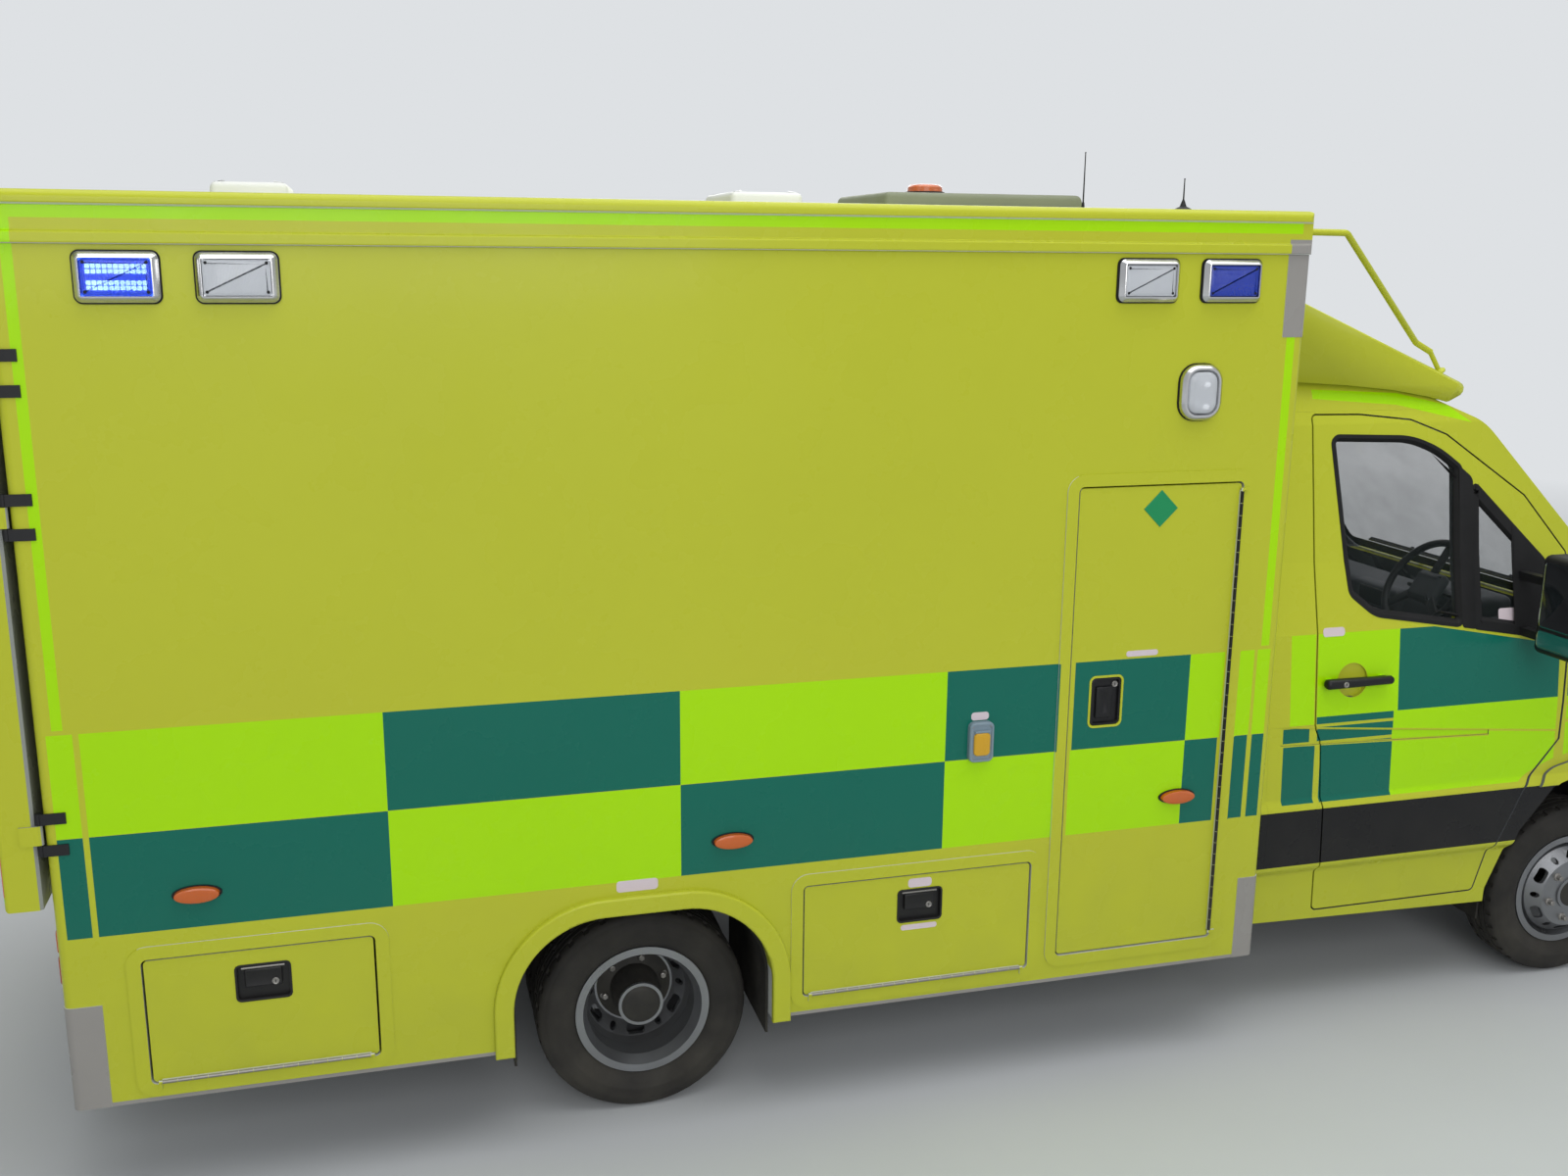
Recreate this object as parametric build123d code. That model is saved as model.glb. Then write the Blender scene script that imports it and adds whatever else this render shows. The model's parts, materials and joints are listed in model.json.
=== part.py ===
from build123d import *
from math import cos, radians, sin
import os

# Box-body ambulance on a van chassis cab, right-hand drive, twin rear wheels.
# Drawn in millimetres with X forward from the rear axle, Y to the vehicle's left, Z up from the
# ground. On saving, everything slides along X so that the origin is under the vehicle's middle.

# Driving sizes of the whole vehicle. The cab, engine and front axle are drawn with X forward from
# the front axle instead, so that a longer wheelbase moves them together.
WHEELBASE = 3665
REAR_END = -1800
NOSE = 1004
CENTRE_X = (REAR_END + WHEELBASE + NOSE) / 2
CAB_BACK = -1465
CAB_TO_BOX = 30
GAP = 6
SEAT = 0.3

# Wheels
TYRE_R = 345
TYRE_W = 195
RIM_R = 220.5
FRONT_WHEEL_Y = 862
REAR_OUTER_Y = 882
REAR_INNER_Y = 652
AXLE_R = 22
RUN_CLEAR = 0.05

# Box body
BOX_W = 2200
REAR_DOOR_T = 98
REAR_DOOR_GAP = 22
BOX_REAR = REAR_END + REAR_DOOR_T + REAR_DOOR_GAP
BOX_FRONT = WHEELBASE + CAB_BACK - CAB_TO_BOX
BOX_BOTTOM = 333
BOX_TOP = 2900
HALF = BOX_W / 2
WALL = 45
POST_REAR_L = 100
POST_FRONT_L = 83
CANTRAIL_BOTTOM = 2766
CANTRAIL_OUT = 14
FLOOR_TOP = 900
FLOOR_T = 40
ROOF_T = 45
WALL_REAR = BOX_REAR + POST_REAR_L
WALL_FRONT = BOX_FRONT - POST_FRONT_L

# Rear wheel arch in the skirt
ARCH_X = -15
ARCH_HALF = 412
ARCH_TOP = 757
ARCH_R = 290
ARCH_TRIM = 60
ARCH_OUT = 22
ARCH_EDGE = ARCH_HALF + ARCH_TRIM

# Side openings: rear x, front x, low z, high z
HATCH_RR = (BOX_REAR + 218, ARCH_X - ARCH_EDGE - 342, 393, 774)
LOCKER = (BOX_FRONT - 769, BOX_FRONT - 188, 433, 2036)
HATCH_RF = (ARCH_X + ARCH_EDGE + 47, LOCKER[0] - 115, 403, 779)
SIDE_DOOR = (BOX_FRONT - 990, BOX_FRONT - 270, 433, 2170)
HATCH_T = 28
FRAME_W = 45
FRAME_OUT = 5
BARREL_R = 5
BARREL_OUT = 6

# Rear doors
REAR_DOOR_BOTTOM = 960
REAR_DOOR_TOP = 2560
REAR_HINGE_Z = (1180, 2065, 2440)
APERTURE_HALF = 760
APERTURE_BOTTOM = 960
APERTURE_TOP = 2500

# Cab
CAB_HALF = 996
CAB_WALL = 60
CAB_BOTTOM = 375
COWL_X = 290
COWL_Z = 1300
COWL_HALF = 760
BONNET_T = 25
GLASS_T = 6
GLASS_IN = 16
DOOR_REACH = 690
SILL_IN = 870
FLOOR_CAB = 600
CAB_FLOOR_T = 30
COWL_T = 25
ENGINE_WALL_X = 95

# The way through from the cab to the box
PASS_HALF = 300
PASS_Z = (1150, 2000)

os.makedirs("parts", exist_ok=True)


def block(x0, x1, y0, y1, z0, z1):
    """A plain box given by its two corners."""
    centre = Pos((x0 + x1) / 2, (y0 + y1) / 2, (z0 + z1) / 2)
    return centre * Box(abs(x1 - x0), abs(y1 - y0), abs(z1 - z0))


def rounded(points, radius):
    """A closed outline with rounded corners as a flat face, in its own plane."""
    return make_face(FilletPolyline(*points, radius=radius, close=True))


def side_prism(face, y0, y1):
    """A face drawn as (x, z), carried across the vehicle from y0 to y1."""
    plane = Plane(origin=(0, y0, 0), x_dir=(1, 0, 0), z_dir=(0, -1, 0))
    return extrude(plane * face, amount=y1 - y0, dir=(0, 1, 0))


def front_prism(face, x0, x1):
    """A face drawn as (y, z), carried along the vehicle from x0 to x1."""
    plane = Plane(origin=(x0, 0, 0), x_dir=(0, 1, 0), z_dir=(1, 0, 0))
    return extrude(plane * face, amount=x1 - x0)


def plan_prism(face, z0, z1):
    """A face drawn as (x, y), carried up from z0 to z1."""
    return extrude(Pos(0, 0, z0) * face, amount=z1 - z0)


def rod_x(x0, x1, y, z, radius):
    """A round bar along X."""
    return Pos((x0 + x1) / 2, y, z) * Rot(0, 90, 0) * Cylinder(radius, x1 - x0)


def rod_y(x, y0, y1, z, radius):
    """A round bar along Y."""
    return Pos(x, (y0 + y1) / 2, z) * Rot(90, 0, 0) * Cylinder(radius, abs(y1 - y0))


def rod_z(x, y, z0, z1, radius):
    """A round bar along Z."""
    return Pos(x, y, (z0 + z1) / 2) * Cylinder(radius, z1 - z0)


def mirrored(shape):
    """The same piece on the other side of the vehicle."""
    return mirror(shape, about=Plane.XZ)


def both(shape):
    """The piece and its mirror image, as a list of two."""
    return [shape, mirrored(shape)]


def solids_of(things):
    """Every solid in a nested list of shapes."""
    found = []
    for thing in things if isinstance(things, (list, tuple)) else [things]:
        if isinstance(thing, (list, tuple)):
            found += solids_of(thing)
        else:
            found += list(thing.solids())
    return found


def save(name, things, at=0):
    """Write one node. The X at which it was drawn is carried to the frame of the whole."""
    solids = [Pos(at - CENTRE_X, 0, 0) * s for s in solids_of(things)]
    shape = solids[0] if len(solids) == 1 else Compound(children=solids)
    export_step(shape, f"parts/{name}.step")


def save_cab(name, things):
    """Write one node that was drawn from the front axle."""
    save(name, things, WHEELBASE)


# Cab outer form: three outlines that are carried through each other
CAB_SIDE = [
    (CAB_BACK, CAB_BOTTOM), (CAB_BACK, 2350), (-785, 2300), (-485, 2175), (-75, 1735),
    (COWL_X, COWL_Z), (815, 1095), (910, 1000), (975, 740), (NOSE, 560), (975, 330), (-365, 345),
]
CAB_SIDE_RADII = [20, 40, 400, 260, 2500, 60, 200, 90, 300, 60, 60, 60]
CAB_FRONT_HALF = [
    (955, 300), (962, 560), (CAB_HALF, 590), (CAB_HALF, 820), (975, 850), (958, 1130), (925, 1450),
    (868, 1700), (790, 2180), (700, 2390),
]
CAB_PLAN_HALF = [
    (CAB_BACK - 1, CAB_HALF + 4), (285, CAB_HALF + 4), (665, 930), (895, 760), (1015, 380),
]


def cab_block(inset):
    """The cab's outer form, with every face moved inwards by inset."""
    side = rounded(CAB_SIDE, CAB_SIDE_RADII)
    front = rounded(CAB_FRONT_HALF + [(-y, z) for y, z in reversed(CAB_FRONT_HALF)], 25)
    plan = rounded(CAB_PLAN_HALF + [(x, -y) for x, y in reversed(CAB_PLAN_HALF)], 60)
    if inset:
        side = offset(side, -inset, kind=Kind.INTERSECTION)
        front = offset(front, -inset, kind=Kind.INTERSECTION)
        plan = offset(plan, -inset, kind=Kind.INTERSECTION)
    form = side_prism(side, -HALF, HALF) & front_prism(front, CAB_BACK - 10, NOSE + 20)
    return form & plan_prism(plan, 0, BOX_TOP)


# A shallow wedge pressed into each flank, and a dish behind each door handle, as (x, z)
CREASE_LINE = [(CAB_BACK + 110, 1122), (-465, 1046), (-465, 1028), (CAB_BACK + 110, 1054)]
CREASE_DEEP = 4
HANDLE_X = (-1189, -927)
HANDLE_Z = 1275
HANDLE_Y = 972
HANDLE_R = 16
HANDLE_POST = 26
HANDLE_POST_INSET = 8
HANDLE_POST_HALF = 12
HANDLE_POST_Y = 935
DISH_X = -1065
DISH_R = 62
DISH_Y = 930

cab_outer = cab_block(0)
cab_inner = cab_block(CAB_WALL)
crease = cab_outer - cab_block(CREASE_DEEP)
crease &= side_prism(make_face(Polyline(*CREASE_LINE, close=True)), -HALF, HALF)
cab_skin = (cab_outer - cab_inner) - crease

# Door opening and door windows, drawn as (x, z)
DOOR_LINE = [
    (-1215, 2215), (-1015, 2212), (-805, 2190), (-655, 2135), (-315, 1905), (-130, 1690),
    (-130, 1290), (-145, 985), (-300, 815), (-403, 590), (-453, 400), (-1160, 400), (-1190, 1060),
    (-1215, 1120),
]
WINDOW_MAIN = [(-1140, 2135), (-805, 2122), (-690, 2078), (-595, 2010), (-595, 1440), (-975, 1500),
               (-1075, 1580)]
WINDOW_FRONT = [(-550, 1975), (-225, 1665), (-195, 1600), (-195, 1372), (-550, 1432)]
door_face = rounded(DOOR_LINE, 20)
glass_faces = [rounded(WINDOW_MAIN, 30), rounded(WINDOW_FRONT, 18)]

# Front wheel arch, drawn as (x, z)
F_ARCH_HALF = [(395, 200), (395, 400), (300, 640), (150, 820)]
F_ARCH = [(-x, z) for x, z in F_ARCH_HALF] + [(0, 855)] + F_ARCH_HALF[::-1]
ARCH_INNER_Y = 552
FLARE_W = 60
FLARE_OUT = 12
arch_face = rounded(F_ARCH, 45)
arch_space = side_prism(arch_face, ARCH_INNER_Y, HALF)
arch_spaces = arch_space + mirrored(arch_space)


def cab_door(sign):
    """One cab door, cut from the skin, with its windows open and its handle over a dish."""
    reach = (DOOR_REACH, HALF) if sign > 0 else (-HALF, -DOOR_REACH)
    face = offset(door_face, -GAP / 2)
    door = cab_skin & side_prism(face, *reach)
    door -= block(CAB_BACK, 0, -SILL_IN, SILL_IN, 0, FLOOR_CAB)
    for glass_face in glass_faces:
        door -= side_prism(glass_face, *reach)
    dish = side_prism(Pos(DISH_X, HANDLE_Z) * Circle(DISH_R), DISH_Y, HALF)
    door -= dish if sign > 0 else mirrored(dish)
    handle = rod_x(*HANDLE_X, sign * HANDLE_Y, HANDLE_Z, HANDLE_R)
    ends = (HANDLE_X[0] + HANDLE_POST_INSET, HANDLE_X[1] - HANDLE_POST_INSET - HANDLE_POST)
    posts = [block(x, x + HANDLE_POST, sign * HANDLE_POST_Y, sign * HANDLE_Y,
                   HANDLE_Z - HANDLE_POST_HALF, HANDLE_Z + HANDLE_POST_HALF) for x in ends]
    for piece in [handle] + posts:
        door += piece
    return door


def cab_door_glass(sign):
    """The two panes of a cab door."""
    reach = (DOOR_REACH, HALF) if sign > 0 else (-HALF, -DOOR_REACH)
    layer = cab_block(GLASS_IN) - cab_block(GLASS_IN + GLASS_T)
    return [layer & side_prism(offset(face, -SEAT), *reach) for face in glass_faces]


save_cab("cab_door_left", cab_door(1))
save_cab("cab_door_right", cab_door(-1))
save_cab("cab_glass_left", cab_door_glass(1))
save_cab("cab_glass_right", cab_door_glass(-1))

# Door mirrors on their arms
MIRROR_X = -330
MIRROR_Y = (1030, 1270)
MIRROR_Z = (1360, 1725)
MIRROR_HALF_X = 55
MIRROR_R = 26
ARM_HALF_X = 18
ARM_H = 30
ARM_ROOT_Y = 850
ARM_LAP = 15
ARM_Z = (MIRROR_Z[0] + 35, MIRROR_Z[0] + 240)
for sign, name in ((1, "left"), (-1, "right")):
    shell = block(MIRROR_X - MIRROR_HALF_X, MIRROR_X + MIRROR_HALF_X, sign * MIRROR_Y[0],
                  sign * MIRROR_Y[1], *MIRROR_Z)
    shell = fillet(shell.edges(), MIRROR_R)
    for z in ARM_Z:
        shell += block(MIRROR_X - ARM_HALF_X, MIRROR_X + ARM_HALF_X, sign * ARM_ROOT_Y,
                       sign * (MIRROR_Y[0] + ARM_LAP), z, z + ARM_H)
    save_cab(f"mirror_{name}", shell - cab_outer)

# Front panels: bonnet, wings, bumper, grille, headlamps and windscreen
BONNET_BACK = COWL_X + 12
BONNET_FRONT = 895
BONNET_HALF = (735, 610)
BONNET_LOW = 1012
BUMPER_TOP = 734
BUMPER_LOW = 300
BUMPER_BACK = 35
BUMPER_INNER = (835, 600)
BUMPER_SLOT_Z = (400, 450, 500)
BUMPER_SLOT_HALF = 380
PLATE_PAD = (60, 260, 590, 700)
PANEL_T = 30
BUMPER_T = 45
GRILLE_HALF = 420
LAMP_FACE = [(505, 790), (995, 742), (995, 900), (925, 1004), (735, 1004), (565, 930)]
LAMP_DEEP = 75
GRILLE_BACK = 635
NOSE_BACK = 735
GRILLE_TOP = 1100
GRILLE_RIM = 30
SLAT_COUNT = 5
SLAT_H = 22
SLAT_LOW = BUMPER_TOP + 36
SLAT_PITCH = (BONNET_LOW - BUMPER_TOP - 60) / SLAT_COUNT
NOSE_CUT = NOSE + 5

front_skin = cab_outer - cab_block(PANEL_T)
bumper_skin = cab_outer - cab_block(BUMPER_T)
bonnet_plan = rounded([(BONNET_BACK, -BONNET_HALF[0]), (BONNET_FRONT, -BONNET_HALF[1]),
                       (BONNET_FRONT, BONNET_HALF[1]), (BONNET_BACK, BONNET_HALF[0])], 20)
bonnet_space = plan_prism(bonnet_plan, BONNET_LOW, BOX_TOP)
bonnet = (cab_outer - cab_block(BONNET_T)) & bonnet_space
HINGE_X = COWL_X + 17
HINGE_Z = COWL_Z - 16
HINGE_R = 9
HINGE_PIN_R = 4.5
HINGE_Y = 580
HINGE_NOTCH = 26
HINGE_NOTCH_X = 15
HINGE_INNER = 9
HINGE_OUTER = (11, 21)
HINGE_FOOT = 25
HINGE_TONGUE = 24
HINGE_TONGUE_Z = (HINGE_Z - 12, HINGE_Z - 1)
for y in (-HINGE_Y, HINGE_Y):
    bonnet -= block(BONNET_BACK - 1, HINGE_X + HINGE_NOTCH_X, y - HINGE_NOTCH, y + HINGE_NOTCH,
                    COWL_Z - 100, COWL_Z + 20)
    bonnet += rod_y(HINGE_X, y - HINGE_INNER, y + HINGE_INNER, HINGE_Z, HINGE_R)
    bonnet += block(HINGE_X, HINGE_X + HINGE_TONGUE, y - HINGE_INNER, y + HINGE_INNER,
                    *HINGE_TONGUE_Z)
    bonnet -= rod_y(HINGE_X, y - HINGE_NOTCH, y + HINGE_NOTCH, HINGE_Z, HINGE_PIN_R + RUN_CLEAR)
save_cab("bonnet", bonnet)

lamp_face = rounded(LAMP_FACE, 25)
lamp_space = side_prism(lamp_face, GRILLE_HALF + 2 * SEAT, HALF)
lamp = (cab_outer - cab_block(LAMP_DEEP)) & lamp_space
save_cab("headlamps", both(lamp))

nose = block(NOSE_BACK, NOSE_CUT, -HALF, HALF, BUMPER_TOP + SEAT, BONNET_LOW - GAP)
grille = (front_skin & nose) & block(GRILLE_BACK, NOSE_CUT, -GRILLE_HALF, GRILLE_HALF, 0, GRILLE_TOP)
for index in range(SLAT_COUNT):
    z = SLAT_LOW + index * SLAT_PITCH
    grille -= block(GRILLE_BACK, NOSE_CUT, -GRILLE_HALF + GRILLE_RIM, GRILLE_HALF - GRILLE_RIM, z,
                    z + SLAT_H)
save_cab("grille", grille)

# A wing's outline, as (x, z); its arch has a raised flare
WING_BACK = -124
wing_rear_line = [(WING_BACK, COWL_Z - SEAT), (WING_BACK, 1290), (-139, 985), (-294, 812)]
wing_line = wing_rear_line + [
    (-105, 812), (BUMPER_BACK, BUMPER_TOP + SEAT), (NOSE_CUT, BUMPER_TOP + SEAT), (NOSE_CUT, 1200),
    (BONNET_BACK, 1400), (COWL_X + 3, COWL_Z - SEAT)]
wing_face = make_face(Polyline(*wing_line, close=True))
behind_wing = wing_rear_line + [(x - 8, z) for x, z in reversed(wing_rear_line)]
behind_wing_face = make_face(Polyline(*behind_wing, close=True))
flare_space = side_prism(offset(arch_face, FLARE_W), -HALF, HALF)
wing_space = side_prism(wing_face, -HALF, HALF)
bonnet_hole = plan_prism(offset(bonnet_plan, GAP), BONNET_LOW - GAP, BOX_TOP)
lamp_hole = side_prism(offset(lamp_face, SEAT), GRILLE_HALF, HALF)
wings = front_skin & (wing_space - flare_space)
wings += (cab_block(-FLARE_OUT) - cab_block(PANEL_T)) & (wing_space & flare_space)
wings = wings - bonnet_hole - arch_spaces
wings -= block(GRILLE_BACK, NOSE_CUT, -GRILLE_HALF - SEAT, GRILLE_HALF + SEAT, 0, GRILLE_TOP)
wings -= lamp_hole + mirrored(lamp_hole)
wings -= block(COWL_X - 60, COWL_X + 20, -COWL_HALF, COWL_HALF, COWL_Z - 100, COWL_Z + 10)
save_cab("front_wings", wings)

bumper = bumper_skin & block(BUMPER_BACK, NOSE_CUT, -HALF, HALF, BUMPER_LOW, BUMPER_TOP)
bumper -= arch_spaces
inner_x, inner_y = BUMPER_INNER
bumper -= block(BUMPER_BACK, inner_x, -inner_y, inner_y, 0, BUMPER_TOP)
for z in BUMPER_SLOT_Z:
    bumper -= block(inner_x, NOSE_CUT, -BUMPER_SLOT_HALF, BUMPER_SLOT_HALF, z, z + SLAT_H)
pad_deep, pad_half, pad_low, pad_high = PLATE_PAD
plate_pad = block(NOSE - pad_deep, NOSE, -pad_half, pad_half, pad_low, pad_high)
bumper += plate_pad - cab_block(BUMPER_T)
save_cab("front_bumper", bumper)

SCREEN = [(-690, 2120), (690, 2120), (815, 1385), (-815, 1385)]
SCREEN_REACH = (-615, COWL_X + 100)
screen_face = rounded(SCREEN, 70)
screen_hole = front_prism(screen_face, *SCREEN_REACH)
screen = cab_block(GLASS_IN) - cab_block(GLASS_IN + GLASS_T)
screen &= front_prism(offset(screen_face, -SEAT), *SCREEN_REACH)
save_cab("windscreen", screen)

# Cab shell: back wall, roof, pillars and sills, parted where the real pressings are welded
shell = cab_skin - screen_hole
shell -= side_prism(offset(wing_face, SEAT), -HALF, HALF)
shell -= side_prism(behind_wing_face, -HALF, HALF)
shell -= block(CAB_BACK - 1, WING_BACK, -SILL_IN, SILL_IN, 0, FLOOR_CAB - CAB_FLOOR_T)
shell -= block(CAB_BACK - 1, CAB_BACK + CAB_WALL + 1, -PASS_HALF, PASS_HALF, *PASS_Z)
shell -= block(WING_BACK, NOSE_CUT, -HALF, HALF, 0, COWL_Z)
shell -= block(COWL_X, NOSE_CUT, -HALF, HALF, 0, BOX_TOP)
shell -= arch_spaces
door_hole = side_prism(offset(door_face, GAP / 2), DOOR_REACH, HALF)
shell -= door_hole + mirrored(door_hole)
for y in (-HINGE_Y, HINGE_Y):
    shell += rod_y(HINGE_X, y - HINGE_OUTER[1], y + HINGE_OUTER[1], HINGE_Z, HINGE_PIN_R)
    for way in (-1, 1):
        near, far = y + way * HINGE_OUTER[0], y + way * HINGE_OUTER[1]
        shell += rod_y(HINGE_X, min(near, far), max(near, far), HINGE_Z, HINGE_R)
        shell += block(COWL_X - HINGE_FOOT, HINGE_X, near, far, HINGE_Z - HINGE_R, HINGE_Z + 3)
        shell += block(COWL_X - HINGE_FOOT, COWL_X - 4, near, far, HINGE_Z - HINGE_R, COWL_Z + 3)

BACK_SEAM = CAB_BACK + CAB_WALL + 2
ROOF_SEAM = 2225
RAIL_SEAM = 640
HEADER_SEAM = 690
SCUTTLE_SEAM = 1392
WAIST_SEAM = 1121
SILL_SEAM = -1150
CORNER_SEAM = -1214
SCUTTLE_SIDE = 790
WAIST_SEAM_END = -1100
HEADER_SEAM_BACK = -900
SILL_SEAM_TOP = 500
SMALLEST_PANEL = 1000
seams = [
    block(BACK_SEAM, BACK_SEAM + SEAT, -HALF, HALF, 0, BOX_TOP),
    block(BACK_SEAM, COWL_X, -HALF, HALF, ROOF_SEAM, ROOF_SEAM + SEAT),
    block(WING_BACK - 5, COWL_X, -HALF, HALF, SCUTTLE_SEAM, SCUTTLE_SEAM + SEAT),
    block(BACK_SEAM, WAIST_SEAM_END, -HALF, HALF, WAIST_SEAM, WAIST_SEAM + SEAT),
    block(SILL_SEAM, SILL_SEAM + SEAT, -HALF, HALF, 0, SILL_SEAM_TOP),
    block(CORNER_SEAM, CORNER_SEAM + SEAT, -HALF, HALF, ROOF_SEAM - 25, ROOF_SEAM + 1),
    both(block(BACK_SEAM, COWL_X, RAIL_SEAM, RAIL_SEAM + SEAT, ROOF_SEAM, BOX_TOP)),
    both(block(HEADER_SEAM_BACK, COWL_X, HEADER_SEAM, HEADER_SEAM + SEAT, ROOF_SEAM - 145, ROOF_SEAM)),
    both(block(WING_BACK - 5, COWL_X, SCUTTLE_SIDE, SCUTTLE_SIDE + SEAT, COWL_Z - 100,
               SCUTTLE_SEAM)),
]
for seam in solids_of(seams):
    shell -= seam
save_cab("cab_shell", [piece for piece in shell.solids() if piece.volume > SMALLEST_PANEL])

# Cab floor with the wall to the engine and the scuttle shelf under the windscreen
pan_low = FLOOR_CAB - CAB_FLOOR_T
inner_floor = block(CAB_BACK + CAB_WALL, ENGINE_WALL_X, -HALF, HALF, pan_low, FLOOR_CAB)
firewall = block(ENGINE_WALL_X - COWL_T, ENGINE_WALL_X, -HALF, HALF, pan_low, COWL_Z)
cowl = block(ENGINE_WALL_X - COWL_T, COWL_X, -HALF, HALF, COWL_Z - COWL_T, COWL_Z)
floor_pan = (inner_floor + firewall + cowl) & cab_block(CAB_WALL + SEAT)
floor_pan -= arch_spaces
save_cab("cab_floor", floor_pan)

# Roof fairing over the cab
BOX_FACE = CAB_BACK - CAB_TO_BOX
FAIRING_SIDE = [(BOX_FACE + SEAT, 2300), (BOX_FACE + SEAT, 2700), (-1245, 2620), (-865, 2450),
                (-580, 2305), (-605, 2215), (-785, 2250)]
FAIRING_SIDE_RADII = [8, 60, 500, 900, 22, 20, 200]
FAIRING_PLAN = [(BOX_FACE, -800), (BOX_FACE, 800), (-965, 790), (-575, 700), (-575, -700),
                (-965, -790)]
FAIRING_FRONT = [(-800, 2200), (800, 2200), (800, 2480), (640, 2720), (-640, 2720), (-800, 2480)]
FAIRING_PLAN_RADII = [10, 10, 300, 150, 150, 300]
FAIRING_FRONT_RADII = [5, 5, 160, 120, 120, 160]
FAIRING_T = 30
FAIRING_NOSE = -565
CORE_NOSE = -765
CORE_HALF = 720
CORE_TOP = 2640
fairing = side_prism(rounded(FAIRING_SIDE, FAIRING_SIDE_RADII), -HALF, HALF)
fairing &= plan_prism(rounded(FAIRING_PLAN, FAIRING_PLAN_RADII), 0, BOX_TOP)
fairing &= front_prism(rounded(FAIRING_FRONT, FAIRING_FRONT_RADII), BOX_FACE, FAIRING_NOSE)
core_side = offset(rounded(FAIRING_SIDE, FAIRING_SIDE_RADII), -FAIRING_T)
fairing_core = side_prism(core_side, -CORE_HALF, CORE_HALF)
fairing_core &= block(BOX_FACE, CORE_NOSE, -CORE_HALF, CORE_HALF, 0, CORE_TOP)
save_cab("roof_fairing", (fairing - cab_outer) - fairing_core)

# Cab interior: dashboard, steering wheel, two seats
DASH_SIDE = [(70, 960), (70, 1290), (-65, 1390), (-225, 1370), (-265, 1240), (-185, 980)]
DASH_HALF = 860
DASH_CLEAR = 12
WHEEL_TILT = 32
WHEEL_RIM_R = 190
WHEEL_GRIP_R = 15
WHEEL_AT = (-375, 1480)
BOSS = (48, 50)
SPOKE = (170, 34, 14)
SPOKE_ANGLES = (0, 130, 230)
DRIVER_Y = -430
COLUMN_R = 30
COLUMN_L = 230
COLUMN_MID = -150
rim_section = Plane.XZ * Pos(WHEEL_RIM_R, 0) * RegularPolygon(WHEEL_GRIP_R, 8)
steer = revolve(rim_section, axis=Axis.Z) + Pos(0, 0, -20) * Cylinder(*BOSS)
for angle in SPOKE_ANGLES:
    steer += Rot(0, 0, angle) * Pos(100, 0, -10) * Box(*SPOKE)
column = Pos(0, 0, COLUMN_MID) * Cylinder(COLUMN_R, COLUMN_L)
column_bore = Pos(0, 0, COLUMN_MID) * Cylinder(COLUMN_R + SEAT, COLUMN_L + 2 * SEAT)
steer_at = Pos(WHEEL_AT[0], DRIVER_Y, WHEEL_AT[1]) * Rot(0, -90 + WHEEL_TILT, 0)
save_cab("steering_wheel", steer_at * (steer + column))
dash = side_prism(rounded(DASH_SIDE, 40), -DASH_HALF, DASH_HALF) & cab_block(CAB_WALL + DASH_CLEAR)
save_cab("dashboard", dash - steer_at * column_bore)

# Seats, each as (rear x, front x, half width, low z, high z) for its blocks
CUSHION = (-1025, -545, 250, 930, 1060)
HEADREST = (-1185, -1085, 130, 1690, 1860)
PEDESTAL = (-1005, -585, 210, FLOOR_CAB + SEAT, 940)
BACKREST = [(-1145, 1000), (-1015, 1000), (-1065, 1660), (-1165, 1660)]
BACKREST_HALF = 240
STALK_X = -1125
STALK_Y = 60
STALK_Z = (1650, 1700)
STALK_R = 8


def seat(y):
    """A cab seat on its pedestal."""
    pads = []
    for x0, x1, half, low, high in (CUSHION, HEADREST, PEDESTAL):
        pads.append(block(x0, x1, y - half, y + half, low, high))
    cushion, head, base = pads
    whole = fillet(cushion.edges(), 40) + fillet(head.edges(), 30) + base
    whole += side_prism(rounded(BACKREST, 30), y - BACKREST_HALF, y + BACKREST_HALF)
    for side in (-STALK_Y, STALK_Y):
        whole += rod_z(STALK_X, y + side, *STALK_Z, STALK_R)
    return whole


save_cab("cab_seats", [seat(DRIVER_Y), seat(-DRIVER_Y)])

# Box body: floor, walls, roof, posts and rear frame
LOCKER_WALL = 12
OUTRIGGER_LOW = 800
SKIRT_DEPTH = 400
arch_outline = rounded([(ARCH_X - ARCH_HALF, 200), (ARCH_X - ARCH_HALF, ARCH_TOP),
                        (ARCH_X + ARCH_HALF, ARCH_TOP), (ARCH_X + ARCH_HALF, 200)],
                       [5, ARCH_R, ARCH_R, 5])


def opening(sizes, grow):
    """The outline of a side opening, grown by the gap around its door."""
    x0, x1, z0, z1 = sizes
    points = [(x0 - grow, z0 - grow), (x0 - grow, z1 + grow), (x1 + grow, z1 + grow),
              (x1 + grow, z0 - grow)]
    return rounded(points, 12 + grow)


AXIS_Y = HALF + FRAME_OUT + BARREL_OUT
AXIS_IN = 3
STRIP_T = 4
STUB_R = 2
STUB_L = 11
KNUCKLE_L = 9
KNUCKLE_AT = 14
KNUCKLE_FOOT = 20
KNUCKLE_LAP = 7
CORE_INSET = 12
RECESS_DEEP = 16
HATCH_PULL = (150, 110)
DOOR_PULL = (110, 165)


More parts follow.
